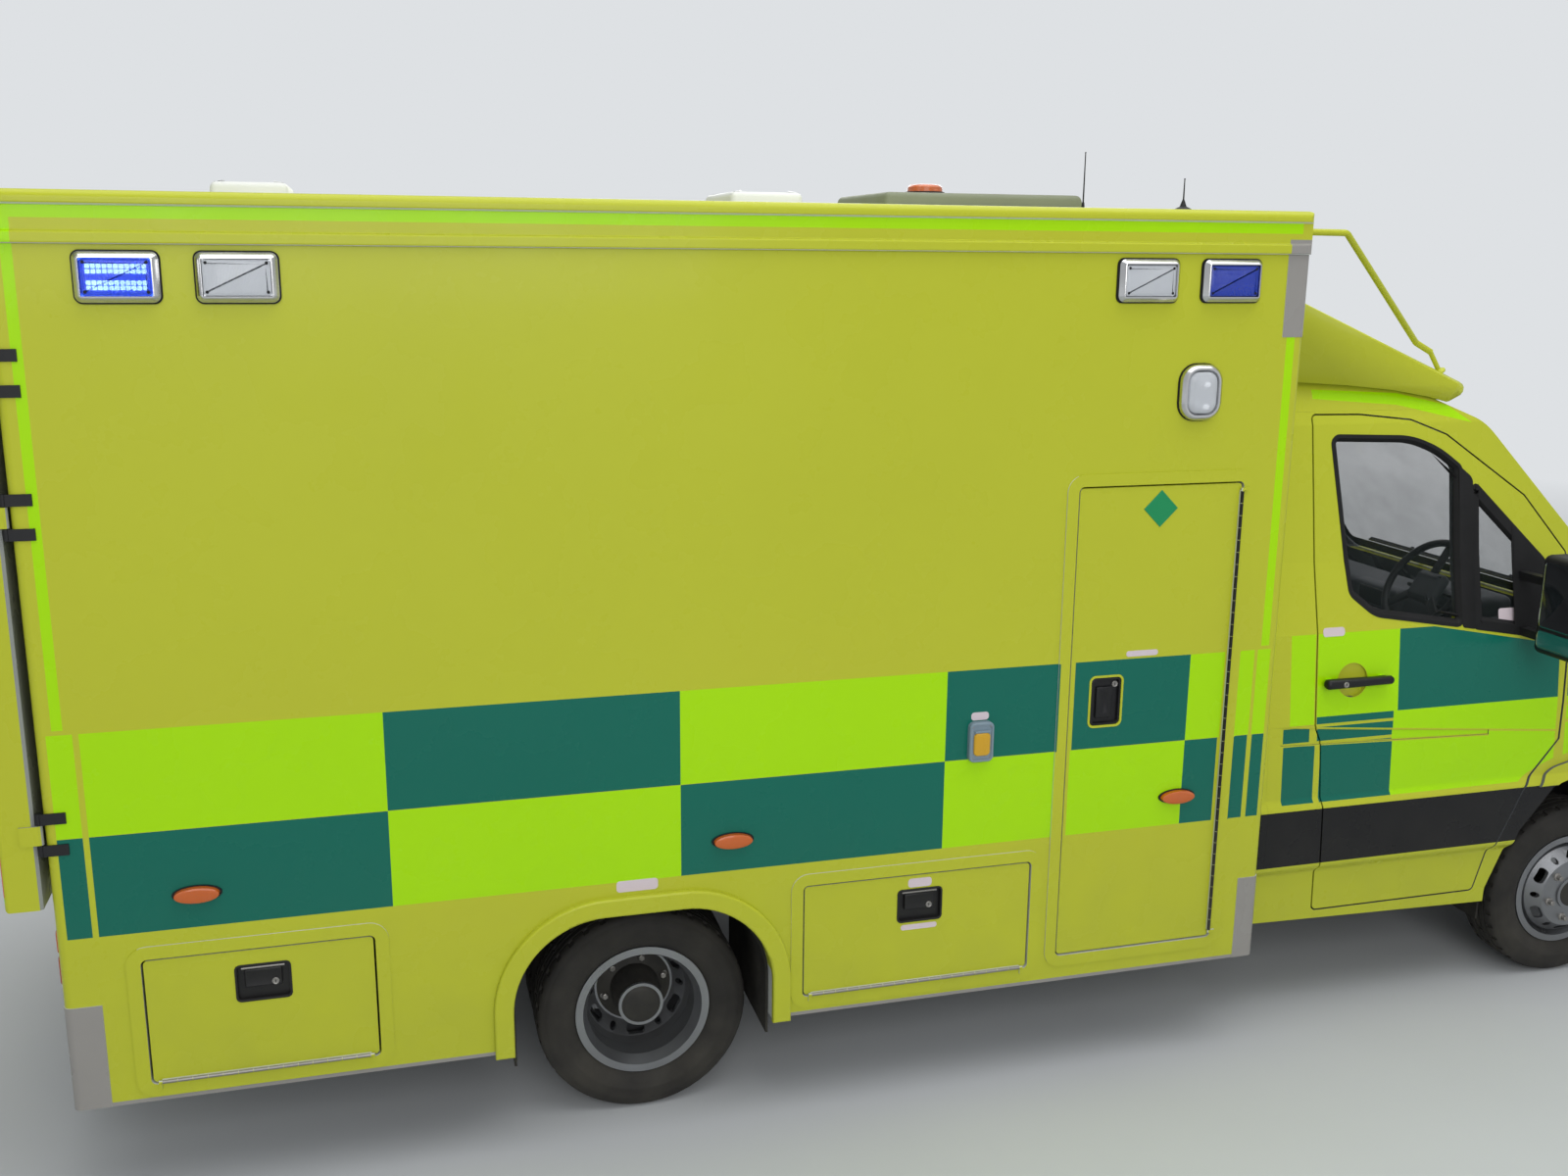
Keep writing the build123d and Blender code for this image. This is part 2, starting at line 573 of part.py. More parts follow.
def hinged_panel(sizes, edge):
    """A flush panel in the left wall with a piano hinge along its bottom or front edge."""
    x0, x1, z0, z1 = sizes
    panel = side_prism(opening(sizes, 0), HALF - HATCH_T, HALF)
    start = KNUCKLE_AT + KNUCKLE_L + RUN_CLEAR
    core = start + CORE_INSET
    if edge == "bottom":
        at = z0 + AXIS_IN
        barrel = rod_x(x0 + start, x1 - start, AXIS_Y, at, BARREL_R)
        strip = block(x0 + start, x1 - start, HALF - 1, AXIS_Y, at, at + STRIP_T)
        bore = rod_x(x0, x1, AXIS_Y, at, STUB_R + RUN_CLEAR)
        solid_core = rod_x(x0 + core, x1 - core, AXIS_Y, at, BARREL_R)
    else:
        at = x1 - AXIS_IN
        barrel = rod_z(at, AXIS_Y, z0 + start, z1 - start, BARREL_R)
        strip = block(at - STRIP_T, at, HALF - 1, AXIS_Y, z0 + start, z1 - start)
        bore = rod_z(at, AXIS_Y, z0, z1, STUB_R + RUN_CLEAR)
        solid_core = rod_z(at, AXIS_Y, z0 + core, z1 - core, BARREL_R)
    return (panel + barrel + strip - bore) + solid_core


def end_knuckles(sizes, edge):
    """The wall's half of a piano hinge: a knuckle with a stub pin at each end."""
    x0, x1, z0, z1 = sizes
    piece = None
    ends = (x0, x1) if edge == "bottom" else (z0, z1)
    for at, way in zip(ends, (1, -1)):
        near = at + way * KNUCKLE_AT
        far = near + way * KNUCKLE_L
        low, high = min(near, far), max(near, far)
        pin_low, pin_high = (low, high + STUB_L) if way > 0 else (low - STUB_L, high)
        out = AXIS_Y + 1
        if edge == "bottom":
            axis, foot = z0 + AXIS_IN, z0 - KNUCKLE_FOOT
            knuckle = rod_x(low, high, AXIS_Y, axis, BARREL_R)
            knuckle += rod_x(pin_low, pin_high, AXIS_Y, axis, STUB_R)
            knuckle += block(low, high, HALF, out, foot, z0 - KNUCKLE_LAP)
            knuckle += block(low, high, AXIS_Y - BARREL_R, out, foot, axis)
        else:
            axis, foot = x1 - AXIS_IN, x1 + KNUCKLE_FOOT
            knuckle = rod_z(axis, AXIS_Y, low, high, BARREL_R)
            knuckle += rod_z(axis, AXIS_Y, pin_low, pin_high, STUB_R)
            knuckle += block(x1 + KNUCKLE_LAP, foot, HALF, out, low, high)
            knuckle += block(axis, foot, AXIS_Y - BARREL_R, out, low, high)
        piece = knuckle if piece is None else piece + knuckle
    return piece


def recess(x, z, size):
    """The hollow in a panel's face that a paddle handle sits in."""
    width, height = size
    return block(x - width / 2, x + width / 2, HALF - RECESS_DEEP, HALF + 1, z - height / 2,
                 z + height / 2)


def wall_panel(openings, edges):
    """The left wall; each opening gets a raised frame and its hinge's end knuckles."""
    panel = block(WALL_REAR, WALL_FRONT, HALF - WALL, HALF, BOX_BOTTOM, CANTRAIL_BOTTOM)
    for sizes in openings:
        panel += side_prism(opening(sizes, FRAME_W), HALF - 1, HALF + FRAME_OUT)
    for sizes in openings:
        panel -= side_prism(opening(sizes, GAP), HALF - WALL - 1, HALF + FRAME_OUT + 1)
    for sizes, edge in zip(openings, edges):
        panel += end_knuckles(sizes, edge)
    return panel - side_prism(arch_outline, HALF - WALL - 1, HALF + FRAME_OUT + 1)


right_wall = wall_panel([HATCH_RR, HATCH_RF, LOCKER], ["bottom", "bottom", "front"])
save("box_wall_right", mirrored(right_wall))
save("box_wall_left", wall_panel([HATCH_RR, SIDE_DOOR], ["bottom", "front"]))

TRIM_FOOT = BOX_BOTTOM - 8
TRIM_EDGE_R = 8
arch_band = offset(arch_outline, ARCH_TRIM) - arch_outline
arch_trim = side_prism(arch_band, HALF + SEAT, HALF + ARCH_OUT)
arch_trim &= block(ARCH_X - 2 * ARCH_HALF, ARCH_X + 2 * ARCH_HALF, 0, 2 * HALF, TRIM_FOOT, BOX_TOP)
arch_trim = fillet(arch_trim.edges().group_by(Axis.Y)[-1], TRIM_EDGE_R)
save("arch_trims", both(arch_trim))

# Corner posts, with a grey cap round the foot of each and round the head of the front ones
POST_W = 92
POST_R = 24
CAP_OUT = 2
CAP_TOP_REAR = 654
CAP_TOP_FRONT = 634
CAP_LOW_HEAD = 2506


def corner_post(x_out, x_in, low, high, out):
    """A length of corner post with a rounded outer corner, out further out than the wall."""
    way = 1 if x_out > x_in else -1
    y_mid = HALF - POST_W / 2
    post = block(x_out + way * out, x_in, HALF - POST_W, HALF + out, low, high)
    edges = post.edges().filter_by(Axis.Z)
    corner = [e for e in edges if e.center().Y > y_mid and way * (e.center().X - x_in) > 1]
    return fillet(corner, POST_R)


post_rear = corner_post(BOX_REAR, WALL_REAR, BOX_BOTTOM, CANTRAIL_BOTTOM - SEAT, 0)
post_rear += corner_post(BOX_REAR, WALL_REAR, BOX_BOTTOM, CAP_TOP_REAR, CAP_OUT)
post_front = corner_post(BOX_FRONT, WALL_FRONT, BOX_BOTTOM, CANTRAIL_BOTTOM - SEAT, 0)
post_front += corner_post(BOX_FRONT, WALL_FRONT, BOX_BOTTOM, CAP_TOP_FRONT, CAP_OUT)
post_front += corner_post(BOX_FRONT, WALL_FRONT, CAP_LOW_HEAD, CANTRAIL_BOTTOM - SEAT, CAP_OUT)
save("corner_posts", both(post_rear) + both(post_front))

# Roof: a gutter bead, a flat band and a rounded edge run round the cantrail
GUTTER_TOP = 2796
EDGE_LOW = 2866
BAND_OUT = 4
BEAD_R = 6
EDGE_R = 22
roof_out = HALF + CANTRAIL_OUT
band_half = [(roof_out, CANTRAIL_BOTTOM), (roof_out, GUTTER_TOP), (HALF + BAND_OUT, GUTTER_TOP + 4),
             (HALF + BAND_OUT, EDGE_LOW - 4), (roof_out, EDGE_LOW), (roof_out, BOX_TOP)]
band_radii = [BEAD_R, BEAD_R, 3, 3, BEAD_R, EDGE_R]
roof_section = rounded(band_half + [(-y, z) for y, z in reversed(band_half)],
                       band_radii + band_radii[::-1])
roof_side = rounded([(BOX_REAR, CANTRAIL_BOTTOM), (BOX_REAR, BOX_TOP), (BOX_FRONT, BOX_TOP),
                     (BOX_FRONT, CANTRAIL_BOTTOM)], [2, EDGE_R, EDGE_R, 2])
roof_plan = rounded([(BOX_REAR, -roof_out), (BOX_REAR, roof_out), (BOX_FRONT, roof_out),
                     (BOX_FRONT, -roof_out)], POST_R)
roof = front_prism(roof_section, BOX_REAR, BOX_FRONT) & side_prism(roof_side, -roof_out, roof_out)
roof &= plan_prism(roof_plan, CANTRAIL_BOTTOM, BOX_TOP)
ROOF_EDGE = 70
roof -= block(BOX_REAR + POST_W, BOX_FRONT - POST_W, -HALF + ROOF_EDGE, HALF - ROOF_EDGE, 0,
              BOX_TOP - ROOF_T)
save("box_roof", roof)

POST_IN = HALF - POST_W
bulkhead = block(BOX_FRONT - WALL, BOX_FRONT, -POST_IN, POST_IN, FLOOR_TOP - FLOOR_T,
                 CANTRAIL_BOTTOM)
bulkhead -= block(BOX_FRONT - WALL - 1, BOX_FRONT + 1, -PASS_HALF, PASS_HALF, *PASS_Z)
save("box_bulkhead", bulkhead)

FRAME_T = 50
FRAME_LOW = BOX_BOTTOM + 60
SEAL_OUT = 50
SEAL_IN = 12
rear = block(BOX_REAR, BOX_REAR + FRAME_T, -POST_IN, POST_IN, FRAME_LOW, CANTRAIL_BOTTOM)
aperture = rounded([(-APERTURE_HALF, APERTURE_BOTTOM), (APERTURE_HALF, APERTURE_BOTTOM),
                    (APERTURE_HALF, APERTURE_TOP), (-APERTURE_HALF, APERTURE_TOP)], 40)
seal = offset(aperture, SEAL_OUT) - offset(aperture, SEAL_IN)
rear += front_prism(seal, BOX_REAR - REAR_DOOR_GAP + SEAT, BOX_REAR)
rear -= front_prism(aperture, REAR_END, BOX_REAR + FRAME_T + 1)
save("rear_frame", rear)

REAR_WINDOW = (260, 860, 1640, 2300)
LEAF_CHAMFER = 8
LEAF_R = 14
PANE_IN = 20


def rear_door(sign):
    """One rear door leaf with its window opening, and its hinge straps."""
    y0, y1 = sign * GAP / 2, sign * HALF
    x0, x1 = REAR_END, REAR_END + REAR_DOOR_T
    leaf = block(x0, x1, y0, y1, REAR_DOOR_BOTTOM, REAR_DOOR_TOP)
    inner_edges = leaf.edges().filter_by(Axis.Z).group_by(Axis.X)[-1]
    leaf = chamfer([e for e in inner_edges if abs(e.center().Y) > HALF - 1], LEAF_CHAMFER)
    leaf = fillet(leaf.edges().group_by(Axis.X)[0], LEAF_R)
    leaf -= front_prism(rear_window(sign), x0 - 1, x1 + 1)
    return leaf


def rear_window(sign):
    """The outline of a rear window, as (y, z)."""
    near, far, low, high = REAR_WINDOW
    return rounded([(sign * near, low), (sign * far, low), (sign * far, high), (sign * near, high)], 60)


REAR_HINGE_X = BOX_REAR - REAR_DOOR_GAP / 2
REAR_HINGE_Y = HALF - 5
KNUCKLE_R = 9
REAR_PIN_R = 4.5
MID_KNUCKLE = 28
END_KNUCKLE = (30, 62)
PLATE_T = 5
MOVING_PLATE = 40
FIXED_PLATE = 60


def rear_hinge_moving(sign, z):
    """The door's half of a hinge: a knuckle and a plate on the leaf's edge."""
    low, high = z - MID_KNUCKLE, z + MID_KNUCKLE
    plate = block(BOX_REAR - REAR_DOOR_GAP - MOVING_PLATE, REAR_HINGE_X, sign * HALF,
                  sign * (HALF + PLATE_T), low, high)
    knuckle = rod_z(REAR_HINGE_X, sign * REAR_HINGE_Y, low, high, KNUCKLE_R)
    bore = rod_z(REAR_HINGE_X, sign * REAR_HINGE_Y, low - 1, high + 1, REAR_PIN_R + RUN_CLEAR)
    return (plate + knuckle) - bore


def rear_hinge_fixed(sign, z):
    """The post's half of a hinge: two knuckles on a pin and a plate on the post."""
    near, far = END_KNUCKLE
    piece = rod_z(REAR_HINGE_X, sign * REAR_HINGE_Y, z - far, z + far, REAR_PIN_R)
    for low, high in ((z - far, z - near), (z + near, z + far)):
        piece += rod_z(REAR_HINGE_X, sign * REAR_HINGE_Y, low, high, KNUCKLE_R)
        piece += block(REAR_HINGE_X + 6, BOX_REAR + FIXED_PLATE, sign * (HALF + SEAT),
                       sign * (HALF + PLATE_T), low, high)
    return piece


for sign, name in ((1, "left"), (-1, "right")):
    leaf = rear_door(sign)
    for z in REAR_HINGE_Z:
        leaf += rear_hinge_moving(sign, z)
    save(f"rear_door_{name}", leaf)
    pane_x = REAR_END + PANE_IN
    pane = front_prism(offset(rear_window(sign), -SEAT), pane_x, pane_x + GLASS_T)
    save(f"rear_glass_{name}", pane)

fixed_hinges = [rear_hinge_fixed(sign, z) for sign in (1, -1) for z in REAR_HINGE_Z]
save("rear_hinges", fixed_hinges)

MARKER_X = (-1302, 266)
DOOR_MARKER_X = LOCKER[1] - 163
MARKER_Z = 966
MARKER_SIZE = (60, 22)
MARKER_DEEP = 20


def marker(x, face_y):
    """An oval side marker lamp standing on a face."""
    lamp = extrude(Ellipse(*MARKER_SIZE), MARKER_DEEP / 2, both=True)
    return Pos(x, face_y + MARKER_DEEP / 2, MARKER_Z) * Rot(90, 0, 0) * lamp


# Middles of the handle recesses, measured from each panel's rear edge, with their heights
PULL_RR = (320, 671)
PULL_RF = (394, 674)
PULL_LOCKER = (131, 1323)
PULL_SIDE = (80, 1250)
hatch_rr = hinged_panel(HATCH_RR, "bottom")
hatch_rr -= recess(HATCH_RR[0] + PULL_RR[0], PULL_RR[1], HATCH_PULL)
hatch_rf = hinged_panel(HATCH_RF, "bottom")
hatch_rf -= recess(HATCH_RF[0] + PULL_RF[0], PULL_RF[1], HATCH_PULL)
locker_door = hinged_panel(LOCKER, "front")
locker_door -= recess(LOCKER[0] + PULL_LOCKER[0], PULL_LOCKER[1], DOOR_PULL)
locker_door += marker(DOOR_MARKER_X, HALF - 1)
save("hatch_right_rear", mirrored(hatch_rr))
save("hatch_right_front", mirrored(hatch_rf))
save("hatch_left_rear", hatch_rr)
save("locker_door", mirrored(locker_door))

WINDOW_SIDE = 120
WINDOW_Z = (1500, 2050)
PANE_DEEP = 18
window_x = (SIDE_DOOR[0] + WINDOW_SIDE, SIDE_DOOR[1] - WINDOW_SIDE)
side_window = rounded([(window_x[0], WINDOW_Z[0]), (window_x[1], WINDOW_Z[0]),
                       (window_x[1], WINDOW_Z[1]), (window_x[0], WINDOW_Z[1])], 50)
side_leaf = hinged_panel(SIDE_DOOR, "front")
side_leaf -= recess(SIDE_DOOR[0] + PULL_SIDE[0], PULL_SIDE[1], DOOR_PULL)
side_leaf -= side_prism(side_window, HALF - WALL, HALF + 1)
side_leaf += marker(DOOR_MARKER_X, HALF - 1)
save("side_door", side_leaf)
pane_y = HALF - PANE_DEEP
save("side_glass", side_prism(offset(side_window, -SEAT), pane_y, pane_y + GLASS_T))


LOCKER_GROW = 22
LOCKER_BACK = HALF - WALL - SKIRT_DEPTH
SKIRT_Z = (BOX_BOTTOM + 30, OUTRIGGER_LOW)
TALL_Z = (405, 2070)
STEP_Z = (400, FLOOR_TOP)


def open_box(sizes, reach):
    """A locker behind a left-hand opening: closed all round apart from its mouth."""
    x0, x1, z0, z1 = sizes
    low, high = reach
    inside = LOCKER_GROW - LOCKER_WALL
    outer = block(x0 - LOCKER_GROW, x1 + LOCKER_GROW, LOCKER_BACK, HALF - WALL - SEAT, low, high)
    inner = block(x0 - inside, x1 + inside, LOCKER_BACK + LOCKER_WALL, HALF, low + LOCKER_WALL,
                  high - LOCKER_WALL)
    return outer, outer - inner


rr_outer, rr_box = open_box(HATCH_RR, SKIRT_Z)
rf_outer, rf_box = open_box(HATCH_RF, SKIRT_Z)
tall_outer, tall_box = open_box(LOCKER, TALL_Z)
step_outer, step_box = open_box(SIDE_DOOR, STEP_Z)
step_box -= block(SIDE_DOOR[0], SIDE_DOOR[1], LOCKER_BACK + LOCKER_WALL, HALF,
                  FLOOR_TOP - LOCKER_WALL - 1, FLOOR_TOP + 1)
save("lockers", [mirrored(rr_box), mirrored(rf_box), mirrored(tall_box), rr_box, step_box])

floor = block(BOX_REAR + FRAME_T, BOX_FRONT - WALL, -HALF + WALL, HALF - WALL,
              FLOOR_TOP - FLOOR_T, FLOOR_TOP)
floor -= block(WALL_FRONT, BOX_FRONT, POST_IN, HALF, 0, BOX_TOP)
floor -= block(WALL_FRONT, BOX_FRONT, -HALF, -POST_IN, 0, BOX_TOP)
floor -= block(BOX_REAR, WALL_REAR, POST_IN, HALF, 0, BOX_TOP)
floor -= block(BOX_REAR, WALL_REAR, -HALF, -POST_IN, 0, BOX_TOP)
floor -= mirrored(tall_outer)
floor -= step_outer
floor -= block(LOCKER[0] - LOCKER_GROW, LOCKER[1] + LOCKER_GROW, -HALF, -HALF + WALL + 1, 0, BOX_TOP)
floor -= block(SIDE_DOOR[0] - LOCKER_GROW, SIDE_DOOR[1] + LOCKER_GROW, HALF - WALL - 1, HALF, 0,
               BOX_TOP)
save("box_floor", floor)


LINER_T = 8
LINER_FOOT = 260
FRONT_LINER_Y = (ARCH_INNER_Y + 1, 930)
REAR_LINER_Y = (540, HALF - WALL)


def wheel_liner(face, y0, y1):
    """A curved liner just inside an arch."""
    liner = side_prism(face - offset(face, -LINER_T), y0, y1)
    return liner - block(-HALF, HALF, 0, HALF, 0, LINER_FOOT)


front_liner = Pos(WHEELBASE, 0, 0) * wheel_liner(offset(arch_face, -1), *FRONT_LINER_Y)
rear_liner = wheel_liner(offset(arch_outline, -1), *REAR_LINER_Y)
save("arch_liners", both(front_liner) + both(rear_liner))

# Lamps, roof units, guards, step and inlet
LAMP_X = (BOX_REAR + 314, BOX_REAR + 607, BOX_FRONT - 578, BOX_FRONT - 286)
LAMP_W = 216
LAMP_H = 138
LAMP_Z = 2683
# Side lamps as (rear x, front x, low z, high z, reach out, corner radius)
SIDE_LAMPS = [(x - LAMP_W / 2, x + LAMP_W / 2, LAMP_Z - LAMP_H / 2, LAMP_Z + LAMP_H / 2, 34, 20)
              for x in LAMP_X]
SIDE_LAMPS.append((BOX_FRONT - 448, BOX_FRONT - 297, 2243, 2427, 42, 60))
# Rear lamps as (inner y, outer y, low z, high z, reach back, corner radius)
REAR_LAMPS = [(800, 960, 560, 840, 40, 20), (740, 960, 2610, 2740, 36, 20)]
lamps = [marker(x, HALF + SEAT) for x in MARKER_X]
for x0, x1, low, high, out, radius in SIDE_LAMPS:
    lamp = block(x0, x1, HALF + SEAT, HALF + out, low, high)
    lamps.append(fillet(lamp.edges().filter_by(Axis.Y), radius))
for y0, y1, low, high, out, radius in REAR_LAMPS:
    lamp = block(BOX_REAR - out, BOX_REAR - SEAT, y0, y1, low, high)
    lamps.append(fillet(lamp.edges().filter_by(Axis.X), radius))
save("body_lamps", [both(lamp) for lamp in lamps])

# Roof units as (rear x, front x, half width, height, edge radius): air conditioner and two vents
ROOF_BLOCKS = [
    (BOX_FRONT - 1170, BOX_FRONT - 390, 300, 72, 24), (BOX_REAR + 453, BOX_REAR + 729, 240, 66, 20),
    (BOX_FRONT - 1715, BOX_FRONT - 1416, 240, 66, 20)]
BEACON_X = BOX_FRONT - 906
BEACON_R = 74
BEACON_TOP = 110
# Aerials as (x, y, base height, base radius, tip height)
AERIALS = [(BOX_FRONT - 450, -380, 20, 22, 214), (BOX_FRONT - 180, -600, 26, 40, 120)]
AERIAL_R = 3
roof_units = []
for x0, x1, half, height, radius in ROOF_BLOCKS:
    unit = block(x0, x1, -half, half, BOX_TOP + SEAT, BOX_TOP + height)
    roof_units.append(fillet(unit.edges().group_by(Axis.Z)[-1], radius))
beacon_low = BOX_TOP + ROOF_BLOCKS[0][3] + SEAT
beacon = rod_z(BEACON_X, 0, beacon_low, BOX_TOP + BEACON_TOP, BEACON_R)
roof_units.append(fillet(beacon.edges().group_by(Axis.Z)[-1], 24))
for x, y, base, radius, tip in AERIALS:
    foot = rod_z(x, y, BOX_TOP + SEAT, BOX_TOP + base, radius)
    roof_units.append(foot + rod_z(x, y, BOX_TOP + base, BOX_TOP + tip, AERIAL_R))
save("roof_units", roof_units)

# Branch guards: a bent tube on each side from the box's face down to the cab roof
GUARD_R = 11
GUARD_BEND = 30
GUARD_LINE = [(BOX_FACE + SEAT, -960, 2840), (-1270, -960, 2838), (-785, -745, 2462),
              (-715, -740, 2428)]
guard_path = FilletPolyline(*GUARD_LINE, radius=GUARD_BEND)
guard_plane = Plane(origin=guard_path @ 0, z_dir=guard_path % 0)
guard = sweep(guard_plane * Circle(GUARD_R), path=guard_path)
save_cab("branch_guards", both(guard))

STEP_HALF = 600
STEP_TREAD_Z = (420, 462)
step = block(REAR_END + 12, BOX_REAR - SEAT, -STEP_HALF, STEP_HALF, *STEP_TREAD_Z)
step = fillet(step.edges().group_by(Axis.X)[0], 10)
save("rear_step", step)

INLET_X = (BOX_FRONT - 1124, BOX_FRONT - 1040)
INLET_Z = (1157, 1290)
INLET_OUT = 30
inlet = block(*INLET_X, -HALF - INLET_OUT, -HALF - SEAT, *INLET_Z)
save("mains_inlet", fillet(inlet.edges().filter_by(Axis.Y), 20))

# Saloon units on the right wall as (rear x, front x, depth, low z, high z): cupboards and bench
UNIT_CLEAR = 29
SALOON_UNITS = [
    (BOX_REAR + 1080, LOCKER[0] - LOCKER_GROW - UNIT_CLEAR, 380, 1500, 2300),
    (BOX_REAR + 380, LOCKER[0] - 501, 420, FLOOR_TOP + SEAT, 1300)]
unit_back = -HALF + WALL
saloon_units = [block(x0, x1, unit_back + SEAT, unit_back + depth, low, high)
                for x0, x1, depth, low, high in SALOON_UNITS]
save("saloon_units", saloon_units)

# Chassis: ladder frame, engine, axles, knuckles
RAIL_Y = 430
RAIL_W = 60
RAIL_LOW = 560
RAIL_HIGH = 720
RAIL_DROP = 150
KICK_X = (BOX_FRONT - 220, BOX_FRONT + CAB_TO_BOX)
RAIL_IN = RAIL_Y - RAIL_W / 2
RAIL_FRONT = WHEELBASE + 805
CROSS_W = 60
CROSS_INSET = 20
REAR_CROSS_X = (-1500, -700, 700, 1500)
FRONT_CROSS_X = (KICK_X[1] + 100, RAIL_FRONT - 70)
BEARER_W = 50
BEARER_X = (-1300, -520, 450, 1050, BOX_FRONT - 140)
rail_side = [(BOX_REAR + FRAME_T, RAIL_LOW), (BOX_REAR + FRAME_T, RAIL_HIGH), (KICK_X[0], RAIL_HIGH),
             (KICK_X[1], RAIL_HIGH - RAIL_DROP), (RAIL_FRONT, RAIL_HIGH - RAIL_DROP),
             (RAIL_FRONT, RAIL_LOW - RAIL_DROP), (KICK_X[1], RAIL_LOW - RAIL_DROP),
             (KICK_X[0], RAIL_LOW)]
rail_face = make_face(Polyline(*rail_side, close=True))
save("frame_rails", both(side_prism(rail_face, RAIL_IN, RAIL_IN + RAIL_W)))

frame = []
cross_half = RAIL_IN - SEAT
for x in REAR_CROSS_X:
    frame.append(block(x, x + CROSS_W, -cross_half, cross_half, RAIL_LOW + CROSS_INSET,
                       RAIL_HIGH - CROSS_INSET))
for x in FRONT_CROSS_X:
    frame.append(block(x, x + CROSS_W, -cross_half, cross_half, RAIL_LOW - RAIL_DROP + 75,
                       RAIL_HIGH - RAIL_DROP - CROSS_INSET))
rail_room = side_prism(offset(rail_face, SEAT), RAIL_IN - 1, RAIL_IN + RAIL_W + 1)
bearer_half = HALF - WALL - SEAT
for x in BEARER_X:
    frame.append(block(x, x + BEARER_W, -bearer_half, bearer_half, OUTRIGGER_LOW,
                       FLOOR_TOP - FLOOR_T - SEAT))
    bracket = block(x, x + BEARER_W, RAIL_IN, RAIL_IN + RAIL_W, RAIL_HIGH - RAIL_DROP,
                    OUTRIGGER_LOW - SEAT)
    frame += both(bracket - rail_room)
save("chassis_frame", frame)

# Engine and gearbox as one plain block, drawn from the front axle
ENGINE = (135, 665, 260, 480, 1000)
GEARBOX_BACK = -365
GEARBOX = (110, 400, 560)
MOUNT = (335, 435, 480, 550)
rear_x, front_x, engine_half, low, high = ENGINE
engine = block(rear_x, front_x, -engine_half, engine_half, low, high)
engine += block(GEARBOX_BACK, rear_x, -GEARBOX[0], GEARBOX[0], GEARBOX[1], GEARBOX[2])
for s in (-1, 1):
    engine += block(MOUNT[0], MOUNT[1], s * engine_half, s * cross_half, MOUNT[2], MOUNT[3])
save_cab("engine_block", engine)

PIN_Y = 800
PIN_RADIUS = 16
EAR_LOW = (TYRE_R - 118, TYRE_R - 96)
EAR_HIGH = (TYRE_R + 96, TYRE_R + 118)
BEAM_HALF = (45, 740)
BEAM_Z = (TYRE_R - 40, TYRE_R + 30)
YOKE_Y = (710, 748)
SADDLE_Y = (RAIL_Y - 40, RAIL_Y + 40)
beam = block(-BEAM_HALF[0], BEAM_HALF[0], -BEAM_HALF[1], BEAM_HALF[1], *BEAM_Z)
for s in (-1, 1):
    beam += block(-35, 35, s * YOKE_Y[0], s * YOKE_Y[1], EAR_LOW[0], EAR_HIGH[1])
    for low, high in (EAR_LOW, EAR_HIGH):
        beam += block(-30, 30, s * (YOKE_Y[1] - 3), s * (PIN_Y + 26), low, high)
        beam -= rod_z(0, s * PIN_Y, low - 1, high + 1, PIN_RADIUS + RUN_CLEAR)
    beam += block(-BEAM_HALF[0], BEAM_HALF[0], s * SADDLE_Y[0], s * SADDLE_Y[1], TYRE_R,
                  RAIL_LOW - RAIL_DROP - SEAT)
save_cab("front_axle", beam)

HUB_FACE = 115
UPRIGHT_R = 36
STEER_ARM = (170, 14, TYRE_R - 40, TYRE_R - 20)
for s, name in ((1, "left"), (-1, "right")):
    upright = rod_z(0, s * PIN_Y, EAR_LOW[1] + 1, EAR_HIGH[0] - 1, UPRIGHT_R)
    upright += rod_z(0, s * PIN_Y, EAR_LOW[0] - 4, EAR_HIGH[1] + 4, PIN_RADIUS)
    upright += rod_y(0, s * PIN_Y, s * (FRONT_WHEEL_Y + HUB_FACE), TYRE_R, AXLE_R)
    reach, half, low, high = STEER_ARM
    arm = block(-reach, 0, s * (PIN_Y - half), s * (PIN_Y + half), low, high)
    save_cab(f"knuckle_{name}", upright + arm)

CASING = (560, 55)
DIFFERENTIAL_R = 150
PROP_R = 32
PROP_Z = TYRE_R + 90
SPRING_LINE = [(-640, RAIL_LOW), (-560, RAIL_LOW), (0, 400), (560, RAIL_LOW), (640, RAIL_LOW),
               (0, 375)]
SPRING_HALF = 35
axle = rod_y(0, -CASING[0], CASING[0], TYRE_R, CASING[1]) + Pos(0, 0, TYRE_R) * Sphere(DIFFERENTIAL_R)
axle += rod_y(0, -REAR_OUTER_Y, REAR_OUTER_Y, TYRE_R, AXLE_R)
axle += rod_x(100, WHEELBASE + GEARBOX_BACK - SEAT, 0, PROP_Z, PROP_R)
for s in (-1, 1):
    axle += side_prism(rounded(SPRING_LINE, 4), s * RAIL_Y - SPRING_HALF, s * RAIL_Y + SPRING_HALF)
axle -= block(-700, 700, -RAIL_Y - RAIL_W, RAIL_Y + RAIL_W, RAIL_LOW - SEAT, RAIL_HIGH)
save("rear_axle", axle)


def turned(points):
    """A ring about the wheel's axis, from a section drawn as (y, r)."""
    plane = Plane(origin=(0, 0, 0), x_dir=(0, 1, 0), z_dir=(1, 0, 0))
    return revolve(plane * make_face(Polyline(*points, close=True)), axis=Axis.Y)


